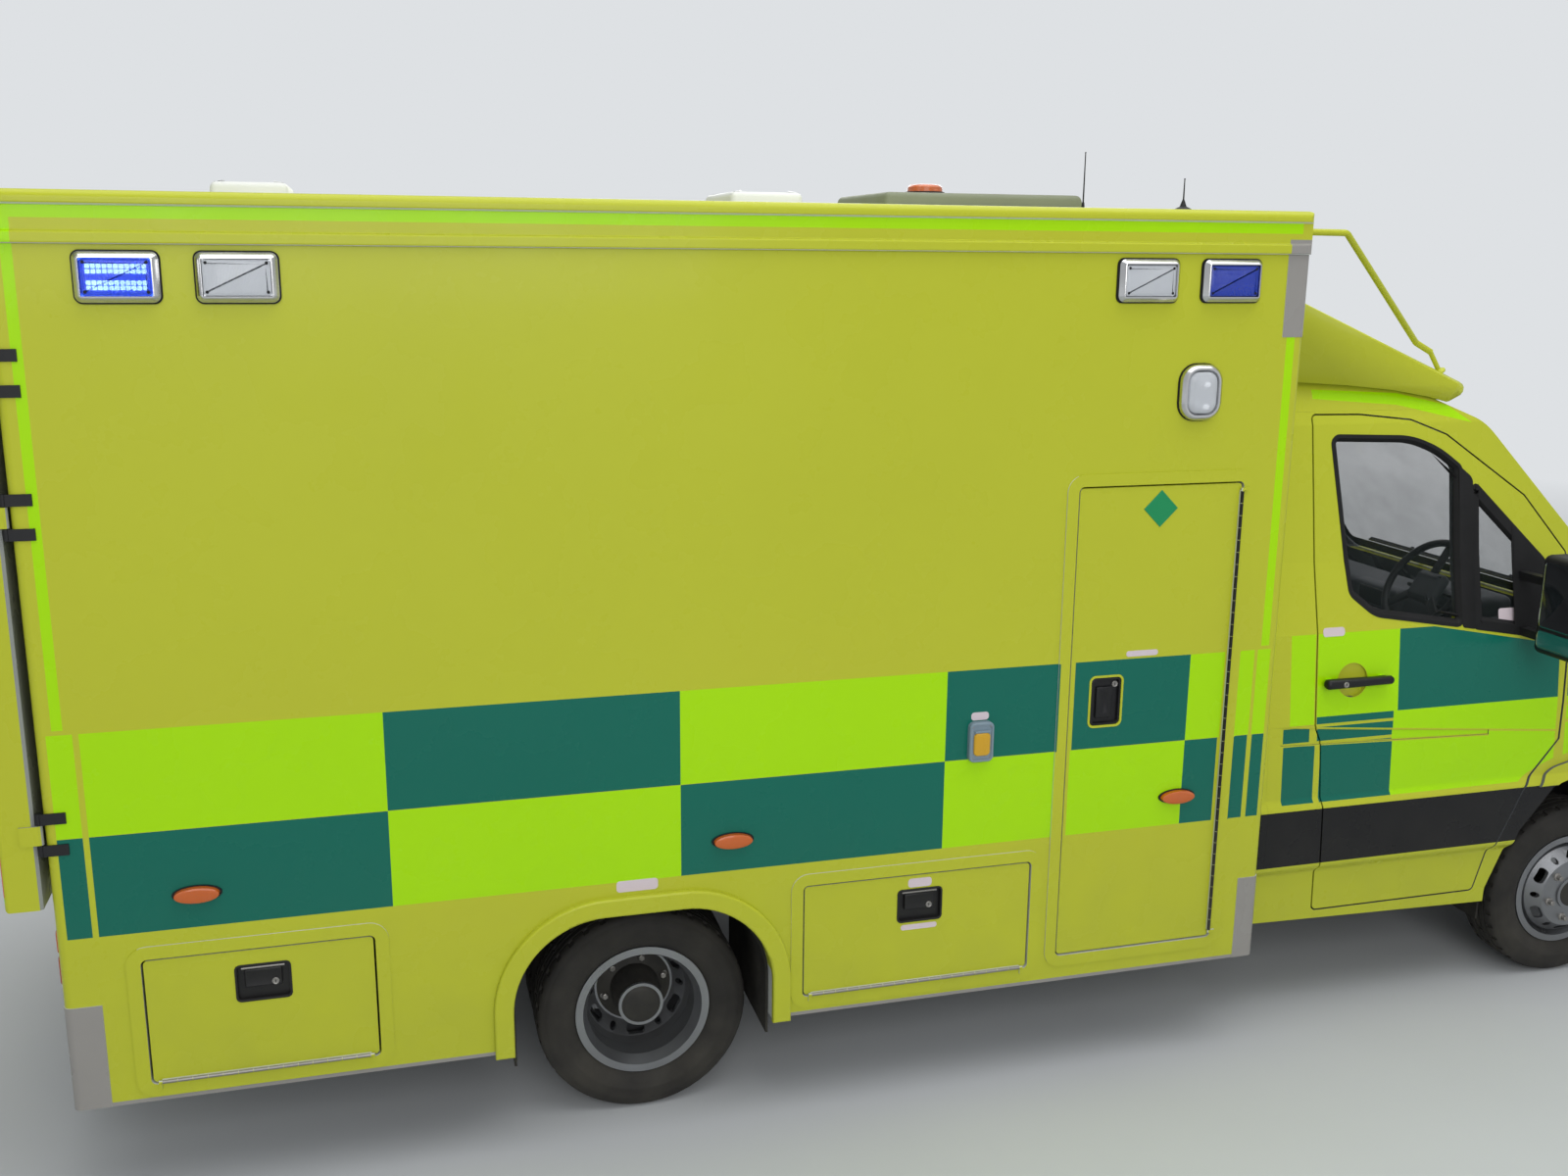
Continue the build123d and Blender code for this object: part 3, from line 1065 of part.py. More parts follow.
SEAT_R = 203
BEAD_Y = 70 - SEAT
tyre_half = [(BEAD_Y, SEAT_R + SEAT), (BEAD_Y, RIM_R + 1), (88, 240), (TYRE_W / 2, 272), (88, 322),
             (62, TYRE_R)]
TYRE_SECTION = [(-y, r) for y, r in tyre_half] + tyre_half[::-1]
RIM_SECTION = [(-78, RIM_R), (-78, 196), (-40, 178), (40, 178), (78, 196), (78, RIM_R),
               (70, RIM_R), (70, SEAT_R), (44, SEAT_R), (36, 188), (-36, 188), (-44, SEAT_R),
               (-70, SEAT_R), (-70, RIM_R)]
DISC_SECTION = [(28, 180), (60, 168), (HUB_FACE - 9, 132), (HUB_FACE - 9, 60), (HUB_FACE, 60),
                (HUB_FACE, 136), (68, 176), (40, 184)]


HOLE_COUNT = 6
HOLE_RING = 152
HOLE_Y = 90
LONG_HOLE = (62, 24)
ROUND_HOLE_R = 11
HOLE_DEEP = 40


def rim():
    """A steel wheel about the Y axis, its disc standing out on the +Y side."""
    wheel = turned(RIM_SECTION) + turned(DISC_SECTION)
    pitch = 360 / HOLE_COUNT
    for index in range(HOLE_COUNT):
        angle = radians(pitch * index)
        long_hole = Pos(HOLE_RING * sin(angle), HOLE_Y, HOLE_RING * cos(angle))
        long_hole *= Rot(0, pitch * index, 0) * Rot(90, 0, 0)
        wheel -= long_hole * extrude(SlotOverall(*LONG_HOLE), HOLE_DEEP, both=True)
        angle = radians(pitch * (index + 0.5))
        round_hole = Pos(HOLE_RING * sin(angle), HOLE_Y, HOLE_RING * cos(angle)) * Rot(90, 0, 0)
        wheel -= round_hole * Cylinder(ROUND_HOLE_R, 2 * HOLE_DEEP)
    return wheel


FRONT_HUB = (44, HUB_FACE + 6, 66)
REAR_HUB = (600, REAR_OUTER_Y + 40, 74)


def hub(y0, y1, radius):
    """A hub bored for its axle."""
    return rod_y(0, y0, y1, 0, radius) - rod_y(0, y0 - 1, y1 + 1, 0, AXLE_R + RUN_CLEAR)


tyre = turned(TYRE_SECTION)
steel = rim()
for s, name in ((1, "left"), (-1, "right")):
    front_at = Pos(WHEELBASE, s * FRONT_WHEEL_Y, TYRE_R)
    front_rim = steel + hub(*FRONT_HUB)
    save(f"tyre_front_{name}", front_at * tyre)
    turn = front_rim if s > 0 else mirrored(front_rim)
    save(f"rim_front_{name}", front_at * turn)
    tyres = [Pos(0, s * y, TYRE_R) * tyre for y in (REAR_OUTER_Y, REAR_INNER_Y)]
    save(f"tyres_rear_{name}", tyres)
    outer = Pos(0, REAR_OUTER_Y, TYRE_R) * mirrored(steel)
    inner = Pos(0, REAR_INNER_Y, TYRE_R) * steel
    pair = outer + inner + Pos(0, 0, TYRE_R) * hub(*REAR_HUB)
    save(f"rims_rear_{name}", pair if s > 0 else mirrored(pair))
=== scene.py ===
# %% [markdown]
# # A box-body ambulance, dressed for its portrait
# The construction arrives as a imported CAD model: every panel, door, wheel and hinge already has its
# real size and place. This lesson gives each surface its finish, adds the small things that a model
# maker would add last, and sets up the light and the camera. All lengths are in metres, X points to
# the front of the vehicle, Y to its left side and Z up from the ground.
# %% Load the frame
import json
from math import atan2, cos, pi, radians, sin, sqrt, tan

import bmesh
import bpy
from mathutils import Matrix, Vector

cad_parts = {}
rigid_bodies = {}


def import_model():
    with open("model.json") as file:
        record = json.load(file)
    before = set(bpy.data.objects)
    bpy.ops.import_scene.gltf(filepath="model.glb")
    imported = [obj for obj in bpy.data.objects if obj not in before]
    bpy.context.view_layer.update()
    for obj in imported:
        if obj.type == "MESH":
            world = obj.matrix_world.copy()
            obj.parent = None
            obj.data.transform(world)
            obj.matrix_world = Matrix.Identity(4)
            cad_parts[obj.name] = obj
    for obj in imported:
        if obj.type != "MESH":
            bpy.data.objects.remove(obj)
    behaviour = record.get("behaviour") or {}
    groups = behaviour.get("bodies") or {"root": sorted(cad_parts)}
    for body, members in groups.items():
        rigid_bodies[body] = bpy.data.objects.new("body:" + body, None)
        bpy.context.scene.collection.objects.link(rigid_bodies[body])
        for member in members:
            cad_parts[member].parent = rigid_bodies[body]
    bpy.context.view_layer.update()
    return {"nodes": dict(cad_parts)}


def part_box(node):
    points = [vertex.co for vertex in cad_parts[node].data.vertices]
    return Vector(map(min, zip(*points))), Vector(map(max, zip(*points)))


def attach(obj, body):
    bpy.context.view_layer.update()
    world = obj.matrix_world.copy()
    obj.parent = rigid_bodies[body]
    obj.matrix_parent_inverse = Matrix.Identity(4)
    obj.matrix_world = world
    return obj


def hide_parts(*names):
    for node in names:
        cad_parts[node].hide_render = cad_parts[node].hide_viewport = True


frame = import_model()
nodes = frame["nodes"]
print("pieces in the frame:", len(nodes))

# %% [markdown]
# The measurements of the livery were taken along the side from the rear axle, so one named distance
# turns them into the frame's own X. The heights need no change, because both start at the ground.
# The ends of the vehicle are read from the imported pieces.
# %% Driving distances
AXLE_TO_MIDDLE = 1.4345
WALL_Y = 1.1
REAR_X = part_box("rear_door_left")[0].x
NOSE_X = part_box("front_bumper")[1].x


def along(x_from_rear_axle):
    """The frame's X of a place that was measured from the rear axle."""
    return x_from_rear_axle - AXLE_TO_MIDDLE


print("rear face at", round(REAR_X, 3), "nose at", round(NOSE_X, 3))

# %% [markdown]
# ## Camera
# The portrait is taken from head height on the right side, a little behind the middle, looking
# slightly forward and down. A camera's three axes are built from its turn, tilt and roll, and become
# the columns of its matrix. The lens is short, as on a pocket camera at its wide end.
# %% Camera
CAMERA_PLACE = Vector((along(-0.749), -5.291, 2.755))
CAMERA_TURN = radians(15.667)
CAMERA_TILT = radians(12.808)
CAMERA_ROLL = radians(0.477)

camera_data = bpy.data.cameras.new("portrait_camera")
camera_data.sensor_width = 36.0
camera_data.lens = 33.74
camera = bpy.data.objects.new("portrait_camera", camera_data)
bpy.context.scene.collection.objects.link(camera)
ahead = Vector((sin(CAMERA_TURN) * cos(CAMERA_TILT), cos(CAMERA_TURN) * cos(CAMERA_TILT),
                -sin(CAMERA_TILT)))
level = Vector((cos(CAMERA_TURN), -sin(CAMERA_TURN), 0.0))
upright = level.cross(ahead)
right = level * cos(CAMERA_ROLL) + upright * sin(CAMERA_ROLL)
upward = upright * cos(CAMERA_ROLL) - level * sin(CAMERA_ROLL)
camera.matrix_world = Matrix((
    (right.x, upward.x, -ahead.x, CAMERA_PLACE.x),
    (right.y, upward.y, -ahead.y, CAMERA_PLACE.y),
    (right.z, upward.z, -ahead.z, CAMERA_PLACE.z),
    (0.0, 0.0, 0.0, 1.0),
))
bpy.context.scene.camera = camera
print("camera at", [round(v, 3) for v in camera.location])

# %% [markdown]
# ## Colours and node helpers
# Colours are noted as they look on a screen, from 0 to 255, and a shader wants them linear. Short
# helpers keep the node trees readable. One adds a node and feeds its inputs, and the others build on
# it: a new material with its object coordinates, a sum, a mix of two colours, noise, a range and a
# bump. Numbers that are the same all over a surface are typed straight into the shader's sockets.
# %% Colour and node helpers


def screen(red, green, blue):
    """A screen colour as the linear colour that a shader needs."""
    linear = [(v / 255 / 12.92) if v < 10 else ((v / 255 + 0.055) / 1.055) ** 2.4
              for v in (red, green, blue)]
    return (*linear, 1.0)


PAINT = screen(186, 192, 50)
LIME = screen(168, 226, 0)
GREEN = screen(14, 104, 88)
RED = screen(214, 48, 22)
GREY_CAP = screen(150, 147, 143)
BLACK = screen(22, 22, 24)


def feed(tree, socket, value):
    """Joins a socket to another socket, or types a number or colour into it."""
    if isinstance(value, bpy.types.NodeSocket):
        tree.links.new(value, socket)
    else:
        socket.default_value = value


def wired(tree, node, inputs):
    """A node with some of its inputs fed, each found by its name or its number."""
    for socket, value in inputs.items():
        feed(tree, node.inputs[socket], value)
    return node


def added(tree, kind, inputs, **settings):
    """A new shader node of a kind, with its settings and its inputs."""
    node = tree.nodes.new("ShaderNode" + kind)
    for setting, value in settings.items():
        setattr(node, setting, value)
    return wired(tree, node, inputs)


def new_finish(name):
    """An empty finish: its material, its tree, its shader and the object coordinates."""
    material = bpy.data.materials.new(name)
    material.use_nodes = True
    tree = material.node_tree
    place = added(tree, "TexCoord", {}).outputs["Object"]
    return material, tree, tree.nodes["Principled BSDF"], place


def maths(tree, operation, first, second=0.0, clamp=False):
    """The result of one sum on two numbers or sockets."""
    return added(tree, "Math", {0: first, 1: second}, operation=operation, use_clamp=clamp).outputs[0]


def mixed(tree, share, first, second):
    """Two colours mixed, from all of the first at 0 to all of the second at 1."""
    return added(tree, "Mix", {0: share, 6: first, 7: second}, data_type="RGBA").outputs[2]


def noise(tree, place, scale, detail=4.0):
    """Soft random blotches, scale of them to the metre."""
    return added(tree, "TexNoise", {"Scale": scale, "Detail": detail, "Vector": place}).outputs["Fac"]


def ranged(tree, value, from_low, from_high, to_low, to_high):
    """A value carried from one range to another and held at its ends."""
    return added(tree, "MapRange", {"Value": value, "From Min": from_low, "From Max": from_high,
                                    "To Min": to_low, "To Max": to_high}).outputs[0]


def skin(tree, shader, height, depth):
    """A bump of the surface, depth metres high where height is 1."""
    bump = added(tree, "Bump", {"Strength": 1.0, "Distance": depth, "Height": height})
    tree.links.new(bump.outputs[0], shader.inputs["Normal"])


def blend(tree, share, first, second):
    """Two shaders mixed into the surface of a material."""
    mix = added(tree, "MixShader", {0: share, 1: first, 2: second})
    tree.links.new(mix.outputs[0], tree.nodes["Material Output"].inputs["Surface"])


def within(tree, value, low, high):
    """1 where a value lies between two limits and 0 elsewhere."""
    above = maths(tree, "GREATER_THAN", value, low)
    below = maths(tree, "LESS_THAN", value, high)
    return maths(tree, "MULTIPLY", above, below)


print("body paint in linear light:", [round(v, 3) for v in PAINT[:3]])

# %% [markdown]
# ## Weather on the finishes
# Nothing on a working vehicle has one flat colour. Every finish is darkened a little by wide soft
# blotches and by a film of road dust that thickens towards the ground, its gloss wavers, and its skin
# has a fine grain. One function makes such a finish from a handful of numbers.
# %% Weathered finishes
DUST = screen(96, 92, 82)
DUST_TOP = 1.1
BLACKEST = (0.0, 0.0, 0.0, 1.0)


def weather(tree, place, colour, mottle, dust):
    """A colour with wide blotches and with dust that thickens towards the ground."""
    blotch = ranged(tree, noise(tree, place, 0.9, 3.0), 0.35, 0.7, 0.0, mottle)
    darker = mixed(tree, blotch, colour, BLACKEST)
    height = added(tree, "SeparateXYZ", {0: place}).outputs["Z"]
    low = ranged(tree, height, 0.15, DUST_TOP, dust, 0.0)
    spread = ranged(tree, noise(tree, place, 7.0, 8.0), 0.3, 0.75, 0.25, 1.0)
    return mixed(tree, maths(tree, "MULTIPLY", low, spread), darker, DUST)


def finish(name, colour, rough, metal=0.0, mottle=0.12, dust=0.2, grain=600.0, depth=0.0002,
           coat=0.0, waver=0.08):
    """A weathered finish of one basic colour."""
    material, tree, shader, place = new_finish(name)
    gloss = ranged(tree, noise(tree, place, 9.0), 0.3, 0.7, rough - waver, rough + waver)
    wired(tree, shader, {"Base Color": weather(tree, place, colour, mottle, dust), "Roughness": gloss,
                         "Metallic": metal, "Specular IOR Level": 0.3, "Coat Weight": coat,
                         "Coat Roughness": 0.12})
    skin(tree, shader, noise(tree, place, grain, 2.0), depth)
    return material
PLASTIC = finish("black_plastic", screen(30, 30, 32), 0.5, grain=900.0, depth=0.0003)
RUBBER = finish("door_rubber", screen(20, 20, 21), 0.72, grain=500.0, depth=0.0002)
TYRE = finish("tyre_rubber", screen(30, 29, 29), 0.78, dust=0.35, grain=260.0, depth=0.0006)
STEEL = finish("wheel_silver", screen(150, 152, 156), 0.34, 0.85, 0.35, 0.3, 700.0, 0.0002)
BRIGHT = finish("bright_metal", screen(205, 205, 205), 0.16, 1.0, 0.1, 0.1, 900.0, 0.00005)
ALLOY = finish("grey_cap_metal", GREY_CAP, 0.4, 0.75, 0.15, 0.15, 900.0, 0.0001)
CHASSIS = finish("chassis_black", screen(26, 26, 27), 0.6, 0.1, 0.2, 0.5, 300.0, 0.0005)
CAST = finish("cast_engine", screen(92, 93, 94), 0.55, 0.5, 0.3, 0.4, 200.0, 0.0008)
LINER = finish("arch_liner", screen(17, 17, 18), 0.85, 0.0, 0.2, 0.45, 150.0, 0.001)
INNER = finish("inner_panel", screen(196, 199, 198), 0.45, 0.0, 0.06, 0.05, 800.0, 0.0001)
# The cab's dark grey plastic, made lighter than its own colour: painted light that stands in for the dim
# light inside the cab.
CABIN_WITH_PAINTED_LIGHT = finish("cab_plastic_with_painted_light", screen(70, 72, 76), 0.6, 0.0, 0.1, 0.05, 700.0, 0.0004)
FLOOR = finish("floor_vinyl", screen(70, 82, 92), 0.55, 0.0, 0.1, 0.3, 500.0, 0.0004)
WHITE = finish("white_moulding", screen(226, 228, 224), 0.35, 0.0, 0.08, 0.1, 700.0, 0.0001)
LOCKER = finish("locker_lining", screen(150, 152, 153), 0.5, 0.2, 0.1, 0.2, 600.0, 0.0001)
print("weathered finishes:", len(bpy.data.materials))

# %% [markdown]
# ## The livery
# Each row of checks is one run of bands along X, so a helper walks along a row and changes the colour
# at every stop. A ramp node would round the stops to its own table, while these comparisons stay
# exact. The stops are the measured ones, in metres from the rear axle, and the narrow yellow bands
# between the film are the paint that shows at every seam.
# %% Rows of checks
UPPER_ROW = (1.163, 1.463)
LOWER_ROW = (0.863, 1.162)
UPPER_STOPS = [(-1.650, LIME), (-1.584, PAINT), (-1.568, LIME), (-0.767, GREEN), (0.102, LIME),
               (0.970, GREEN), (1.362, PAINT), (1.417, GREEN), (1.838, LIME), (1.968, PAINT),
               (2.023, LIME), (2.081, PAINT), (2.093, LIME), (2.142, PAINT)]
LOWER_STOPS = [(-1.650, GREEN), (-1.584, PAINT), (-1.568, GREEN), (-0.767, LIME), (0.102, GREEN),
               (0.970, LIME), (1.357, PAINT), (1.412, LIME), (1.838, GREEN), (1.962, PAINT),
               (2.023, GREEN), (2.078, PAINT), (2.096, GREEN), (2.142, PAINT)]
REAR_STRIPE = (-1.634, -1.606)
FRONT_STRIPE = (2.104, 2.134)
STRIPE_LOW = 1.476
CANTRAIL_STRIPE = (2.830, 2.864)


def bands(tree, value, stops):
    """Bands of colour along a value: paint first, then each stop's colour from where it starts."""
    colour = PAINT
    for start, film in stops:
        colour = mixed(tree, maths(tree, "GREATER_THAN", value, along(start)), colour, film)
    return colour


def patch(tree, axes, x_span, z_span, colour, film):
    """One rectangle of film, given by where it lies along X and Z."""
    share = maths(tree, "MULTIPLY", within(tree, axes["X"], along(x_span[0]), along(x_span[1])),
                  within(tree, axes["Z"], *z_span))
    return mixed(tree, share, colour, film)


def split_axes(tree, place):
    """The three coordinates of a place, with the distance from the middle plane as wide."""
    node = added(tree, "SeparateXYZ", {0: place})
    axes = {name: node.outputs[name] for name in "XYZ"}
    axes["wide"] = maths(tree, "ABSOLUTE", axes["Y"])
    return axes


print("checks in a row:", len(UPPER_STOPS))

# %% [markdown]
# Every panel has an outer and an inner skin, and only the outer one carries the livery. A panel of a
# closed body faces away from the middle of that body on its outside and towards it on its inside, so
# the sign of one dot product tells them apart. It works on edges and on opened doors as well, because
# it uses the piece's own coordinates.
# %% Outside or inside of a body
BOX_MIDDLE = (along(0.245), 0.0, 1.60)
CAB_MIDDLE = (along(3.0), 0.0, 1.25)
PAINT_DUST = 0.16
PAINT_ROUGH = 0.27


def inside_of(tree, place, middle):
    """1 on skins that face the middle of a body and 0 on those that face away."""
    normal = added(tree, "TexCoord", {}).outputs["Normal"]
    outward = added(tree, "VectorMath", {0: place, 1: middle}, operation="SUBTRACT").outputs[0]
    dot = added(tree, "VectorMath", {0: outward, 1: normal}, operation="DOT_PRODUCT")
    return maths(tree, "LESS_THAN", dot.outputs["Value"], 0.0)


def painted(name, livery, middle, lining):
    """A painted finish: livery outside, lining inside, with the ripple of sprayed paint."""
    material, tree, shader, place = new_finish(name)
    outside = livery(tree, split_axes(tree, place)) if livery else PAINT
    colour = mixed(tree, inside_of(tree, place, middle), outside, lining)
    gloss = ranged(tree, noise(tree, place, 5.0, 6.0), 0.3, 0.7, PAINT_ROUGH - 0.06, PAINT_ROUGH + 0.08)
    wired(tree, shader, {"Base Color": weather(tree, place, colour, 0.03, PAINT_DUST),
                         "Roughness": gloss, "Specular IOR Level": 0.20, "Coat Weight": 0.08,
                         "Coat Roughness": 0.08})
    skin(tree, shader, noise(tree, place, 420.0, 2.0), 0.00006)
    return material


print("middle of the box body:", [round(v, 2) for v in BOX_MIDDLE])

# %% [markdown]
# The box body's livery: two rows of checks, an upright stripe on each corner post, a stripe along the
# cantrail, and grey caps on the corners. Only faces out at the side walls take them, so the roof and
# the ends stay plain.
# %% Livery of the box body
CAP_REAR_TOP = 0.654
CAP_FRONT_TOP = 0.634
CAP_HEAD = (2.506, 2.812)
SKIRT_EDGE = 0.345
POST_REAR = -1.578
POST_FRONT = 2.087
NEAR_WALL = (1.0, 3.0)


def box_livery(tree, axes):
    """The colours of the box body's outside."""
    row = mixed(tree, within(tree, axes["Z"], *UPPER_ROW), PAINT,
                bands(tree, axes["X"], UPPER_STOPS))
    row = mixed(tree, within(tree, axes["Z"], *LOWER_ROW), row, bands(tree, axes["X"], LOWER_STOPS))
    row = patch(tree, axes, REAR_STRIPE, (STRIPE_LOW, CANTRAIL_STRIPE[0]), row, LIME)
    row = patch(tree, axes, FRONT_STRIPE, (STRIPE_LOW, CAP_HEAD[0]), row, LIME)
    row = patch(tree, axes, (-1.67, 2.13), CANTRAIL_STRIPE, row, LIME)
    at_side = maths(tree, "GREATER_THAN", axes["wide"], WALL_Y - 0.004)
    row = mixed(tree, at_side, PAINT, row)
    for x_span, z_span in (((-1.70, POST_REAR), (0.0, CAP_REAR_TOP)),
                           ((POST_FRONT, 2.20), (0.0, CAP_FRONT_TOP)),
                           ((-1.70, 2.20), (0.0, SKIRT_EDGE)),
                           ((POST_FRONT, 2.20), CAP_HEAD)):
        capped = patch(tree, axes, x_span, z_span, row, GREY_CAP)
        row = mixed(tree, within(tree, axes["wide"], *NEAR_WALL), row, capped)
    return row


LINING = screen(205, 208, 204)
box_paint = painted("box_livery_paint", box_livery, BOX_MIDDLE, LINING)
print("made", box_paint.name, "with", len(box_paint.node_tree.nodes), "nodes")

# %% [markdown]
# The cab's livery follows its doors. The checks stop at the door seams, a wedge is pressed into the
# flank below the handle, the dish behind the handle and the flare over the wheel have no film, and a
# wide black rub strip runs along the doors. The bar of the handle is black as well.
# %% Livery of the cab
RUB_STRIP = (0.604, 0.815)
HANDLE_AT = (2.600, 1.275)
WHEEL_AT = (3.665, 0.345)
DISH_RADIUS = 0.063
FLARE_RADIUS = 0.588
DOOR_X = (along(2.778), along(3.503))
DOOR_Z = (0.836, 1.150)
CREASE_HALF = 0.004
SIDE_FROM = 0.735
STRIP_FROM = 0.93
HANDLE_FROM = 0.949
BAND_UNDER = 2.32
BAND_TOP = [(2.467, 2.300), (2.816, 2.283), (3.026, 2.237), (3.125, 2.172)]
BAND_LOW = [(2.467, 2.268), (2.811, 2.242), (3.125, 2.174)]
CAB_STOPS = {
    (1.150, 1.450): [(2.345, LIME), (2.444, PAINT), (2.455, LIME), (2.795, GREEN), (3.503, PAINT),
                     (3.546, GREEN), (3.940, PAINT)],
    (1.124, 1.150): [(2.345, LIME), (2.444, PAINT), (2.455, GREEN), (2.793, LIME), (3.503, PAINT),
                     (3.546, LIME), (3.940, PAINT)],
    (1.060, 1.113): [(2.322, GREEN), (2.430, PAINT), (2.462, GREEN), (2.778, LIME), (3.503, PAINT),
                     (3.546, LIME), (3.940, PAINT)],
    (0.836, 1.048): [(2.322, GREEN), (2.452, PAINT), (2.476, GREEN), (2.778, LIME), (3.503, PAINT),
                     (3.546, LIME), (3.940, PAINT)],
}


def radius_from(tree, axes, middle):
    """The distance of a place from a point on the flank, seen from the side."""
    x_away = maths(tree, "SUBTRACT", axes["X"], along(middle[0]))
    z_away = maths(tree, "SUBTRACT", axes["Z"], middle[1])
    square = maths(tree, "ADD", maths(tree, "MULTIPLY", x_away, x_away),
                   maths(tree, "MULTIPLY", z_away, z_away))
    return maths(tree, "SQRT", square)


def line_height(tree, axes, start, end):
    """The height, at every X, of a sloping line through two points on the flank."""
    slope = (end[1] - start[1]) / (end[0] - start[0])
    run = maths(tree, "SUBTRACT", axes["X"], along(start[0]))
    return maths(tree, "ADD", maths(tree, "MULTIPLY", run, slope), start[1])


def lowest_line(tree, axes, corners):
    """The height of a line that bends down at each corner, as the least of its runs' heights."""
    heights = [line_height(tree, axes, start, end) for start, end in zip(corners, corners[1:])]
    least = heights[0]
    for height in heights[1:]:
        least = maths(tree, "MINIMUM", least, height)
    return least


def cab_livery(tree, axes):
    """The colours of the cab's outside."""
    row = PAINT
    for z_span, stops in CAB_STOPS.items():
        row = mixed(tree, within(tree, axes["Z"], *z_span), row, bands(tree, axes["X"], stops))
    full = maths(tree, "MULTIPLY", within(tree, axes["X"], *DOOR_X), within(tree, axes["Z"], *DOOR_Z))
    row = mixed(tree, full, row, LIME)
    for start, end, last in (((2.31, 1.122), (3.20, 1.046), 3.503),
                             ((2.31, 1.054), (3.20, 1.028), 3.20)):
        away = maths(tree, "SUBTRACT", axes["Z"], line_height(tree, axes, start, end))
        near = maths(tree, "LESS_THAN", maths(tree, "ABSOLUTE", away), CREASE_HALF)
        span = within(tree, axes["X"], along(start[0]), along(last))
        row = mixed(tree, maths(tree, "MULTIPLY", near, span), row, PAINT)
    window_line = line_height(tree, axes, (2.93, 1.452), (3.50, 1.350))
    above = maths(tree, "GREATER_THAN", axes["Z"], window_line)
    row = mixed(tree, above, row, PAINT)
    for middle, radius in ((HANDLE_AT, DISH_RADIUS), (WHEEL_AT, FLARE_RADIUS)):
        bare = maths(tree, "LESS_THAN", radius_from(tree, axes, middle), radius)
        row = mixed(tree, bare, row, PAINT)
    under = maths(tree, "LESS_THAN", axes["Z"], lowest_line(tree, axes, BAND_TOP))
    over = maths(tree, "GREATER_THAN", axes["Z"], lowest_line(tree, axes, BAND_LOW))
    band = maths(tree, "MULTIPLY", maths(tree, "MULTIPLY", under, over),
                 within(tree, axes["X"], along(BAND_TOP[0][0]), along(BAND_TOP[-1][0])))
    band = maths(tree, "MULTIPLY", band, maths(tree, "LESS_THAN", axes["Z"], BAND_UNDER))
    row = mixed(tree, band, row, LIME)
    at_side = maths(tree, "GREATER_THAN", axes["wide"], SIDE_FROM)
    row = mixed(tree, at_side, PAINT, row)
    out = maths(tree, "GREATER_THAN", axes["wide"], STRIP_FROM)
    strip = maths(tree, "MULTIPLY", out, within(tree, axes["Z"], *RUB_STRIP))
    row = mixed(tree, strip, row, BLACK)
    handle = maths(tree, "MULTIPLY", maths(tree, "GREATER_THAN", axes["wide"], HANDLE_FROM),
                   within(tree, axes["Z"], 1.255, 1.295))
    return mixed(tree, handle, row, BLACK)


# The grey trim inside the cab, made lighter than its own colour: painted light that stands in for the dim
# light inside the cab.
TRIM_WITH_PAINTED_LIGHT = screen(98, 101, 104)
cab_paint = painted("cab_livery_paint", cab_livery, CAB_MIDDLE, TRIM_WITH_PAINTED_LIGHT)
print("made", cab_paint.name, "with", len(cab_paint.node_tree.nodes), "nodes")

# %% [markdown]
# The fairing, the guards and the wheel arch trims are one colour, and the rear doors carry chevrons.
# A chevron is a band of a value that grows upwards and outwards at once, which the modulo of a sum
# gives without any picture.
# %% Plain paint and chevrons
CHEVRON = 0.30
CHEVRON_Z = (0.99, 1.58)

def door_livery(tree, axes):
    """Chevrons that point up to the middle, on the outer face of the rear doors only."""
    slant = maths(tree, "ADD", axes["Z"], axes["wide"])
    phase = maths(tree, "MODULO", slant, CHEVRON)
    chevrons = mixed(tree, maths(tree, "LESS_THAN", phase, CHEVRON / 2), LIME, RED)
    low = within(tree, axes["Z"], *CHEVRON_Z)
    face = maths(tree, "LESS_THAN", axes["X"], REAR_X + 0.004)
    return mixed(tree, maths(tree, "MULTIPLY", face, low), PAINT, chevrons)


plain_paint = painted("body_paint", None, BOX_MIDDLE, PAINT)
door_paint = painted("rear_door_paint", door_livery, BOX_MIDDLE, screen(150, 153, 150))
print("chevrons are", CHEVRON / 2, "m high")

# %% [markdown]
# ## Glass and lenses
# Clear panes are thin: the light passes straight through and only the surface shines, so a glass
# shader is mixed with a transparent one by how steeply it is seen, alike from both of its sides. The
# tinted panes of the saloon let less light through. Lamp lenses are moulded and scatter what passes.
# %% Glass


def pane(name, tint, clear):
    """A thin pane: mostly transparent face on, mirror-like at a slant."""
    material, tree, shader, place = new_finish(name)
    wired(tree, shader, {"Base Color": tint, "Roughness": 0.03})
    film = ranged(tree, noise(tree, place, 6.0, 5.0), 0.4, 0.75, 0.0, 0.05)
    paler = (*[0.94 + 0.06 * v for v in tint[:3]], 1.0)
    see = added(tree, "BsdfTransparent", {"Color": paler}).outputs[0]
    slant = added(tree, "LayerWeight", {}).outputs["Facing"]
    shine = maths(tree, "ADD", maths(tree, "MULTIPLY", maths(tree, "POWER", slant, 5.0), 0.9), 0.04)
    solid = maths(tree, "ADD", maths(tree, "ADD", shine, 1.0 - clear), film, clamp=True)
    blend(tree, solid, see, shader.outputs[0])
    return material


clear_glass = pane("cab_window_glass", screen(60, 70, 68), 0.97)
tinted_glass = pane("saloon_window_glass", screen(36, 40, 42), 0.35)
print("panes:", clear_glass.name, tinted_glass.name)

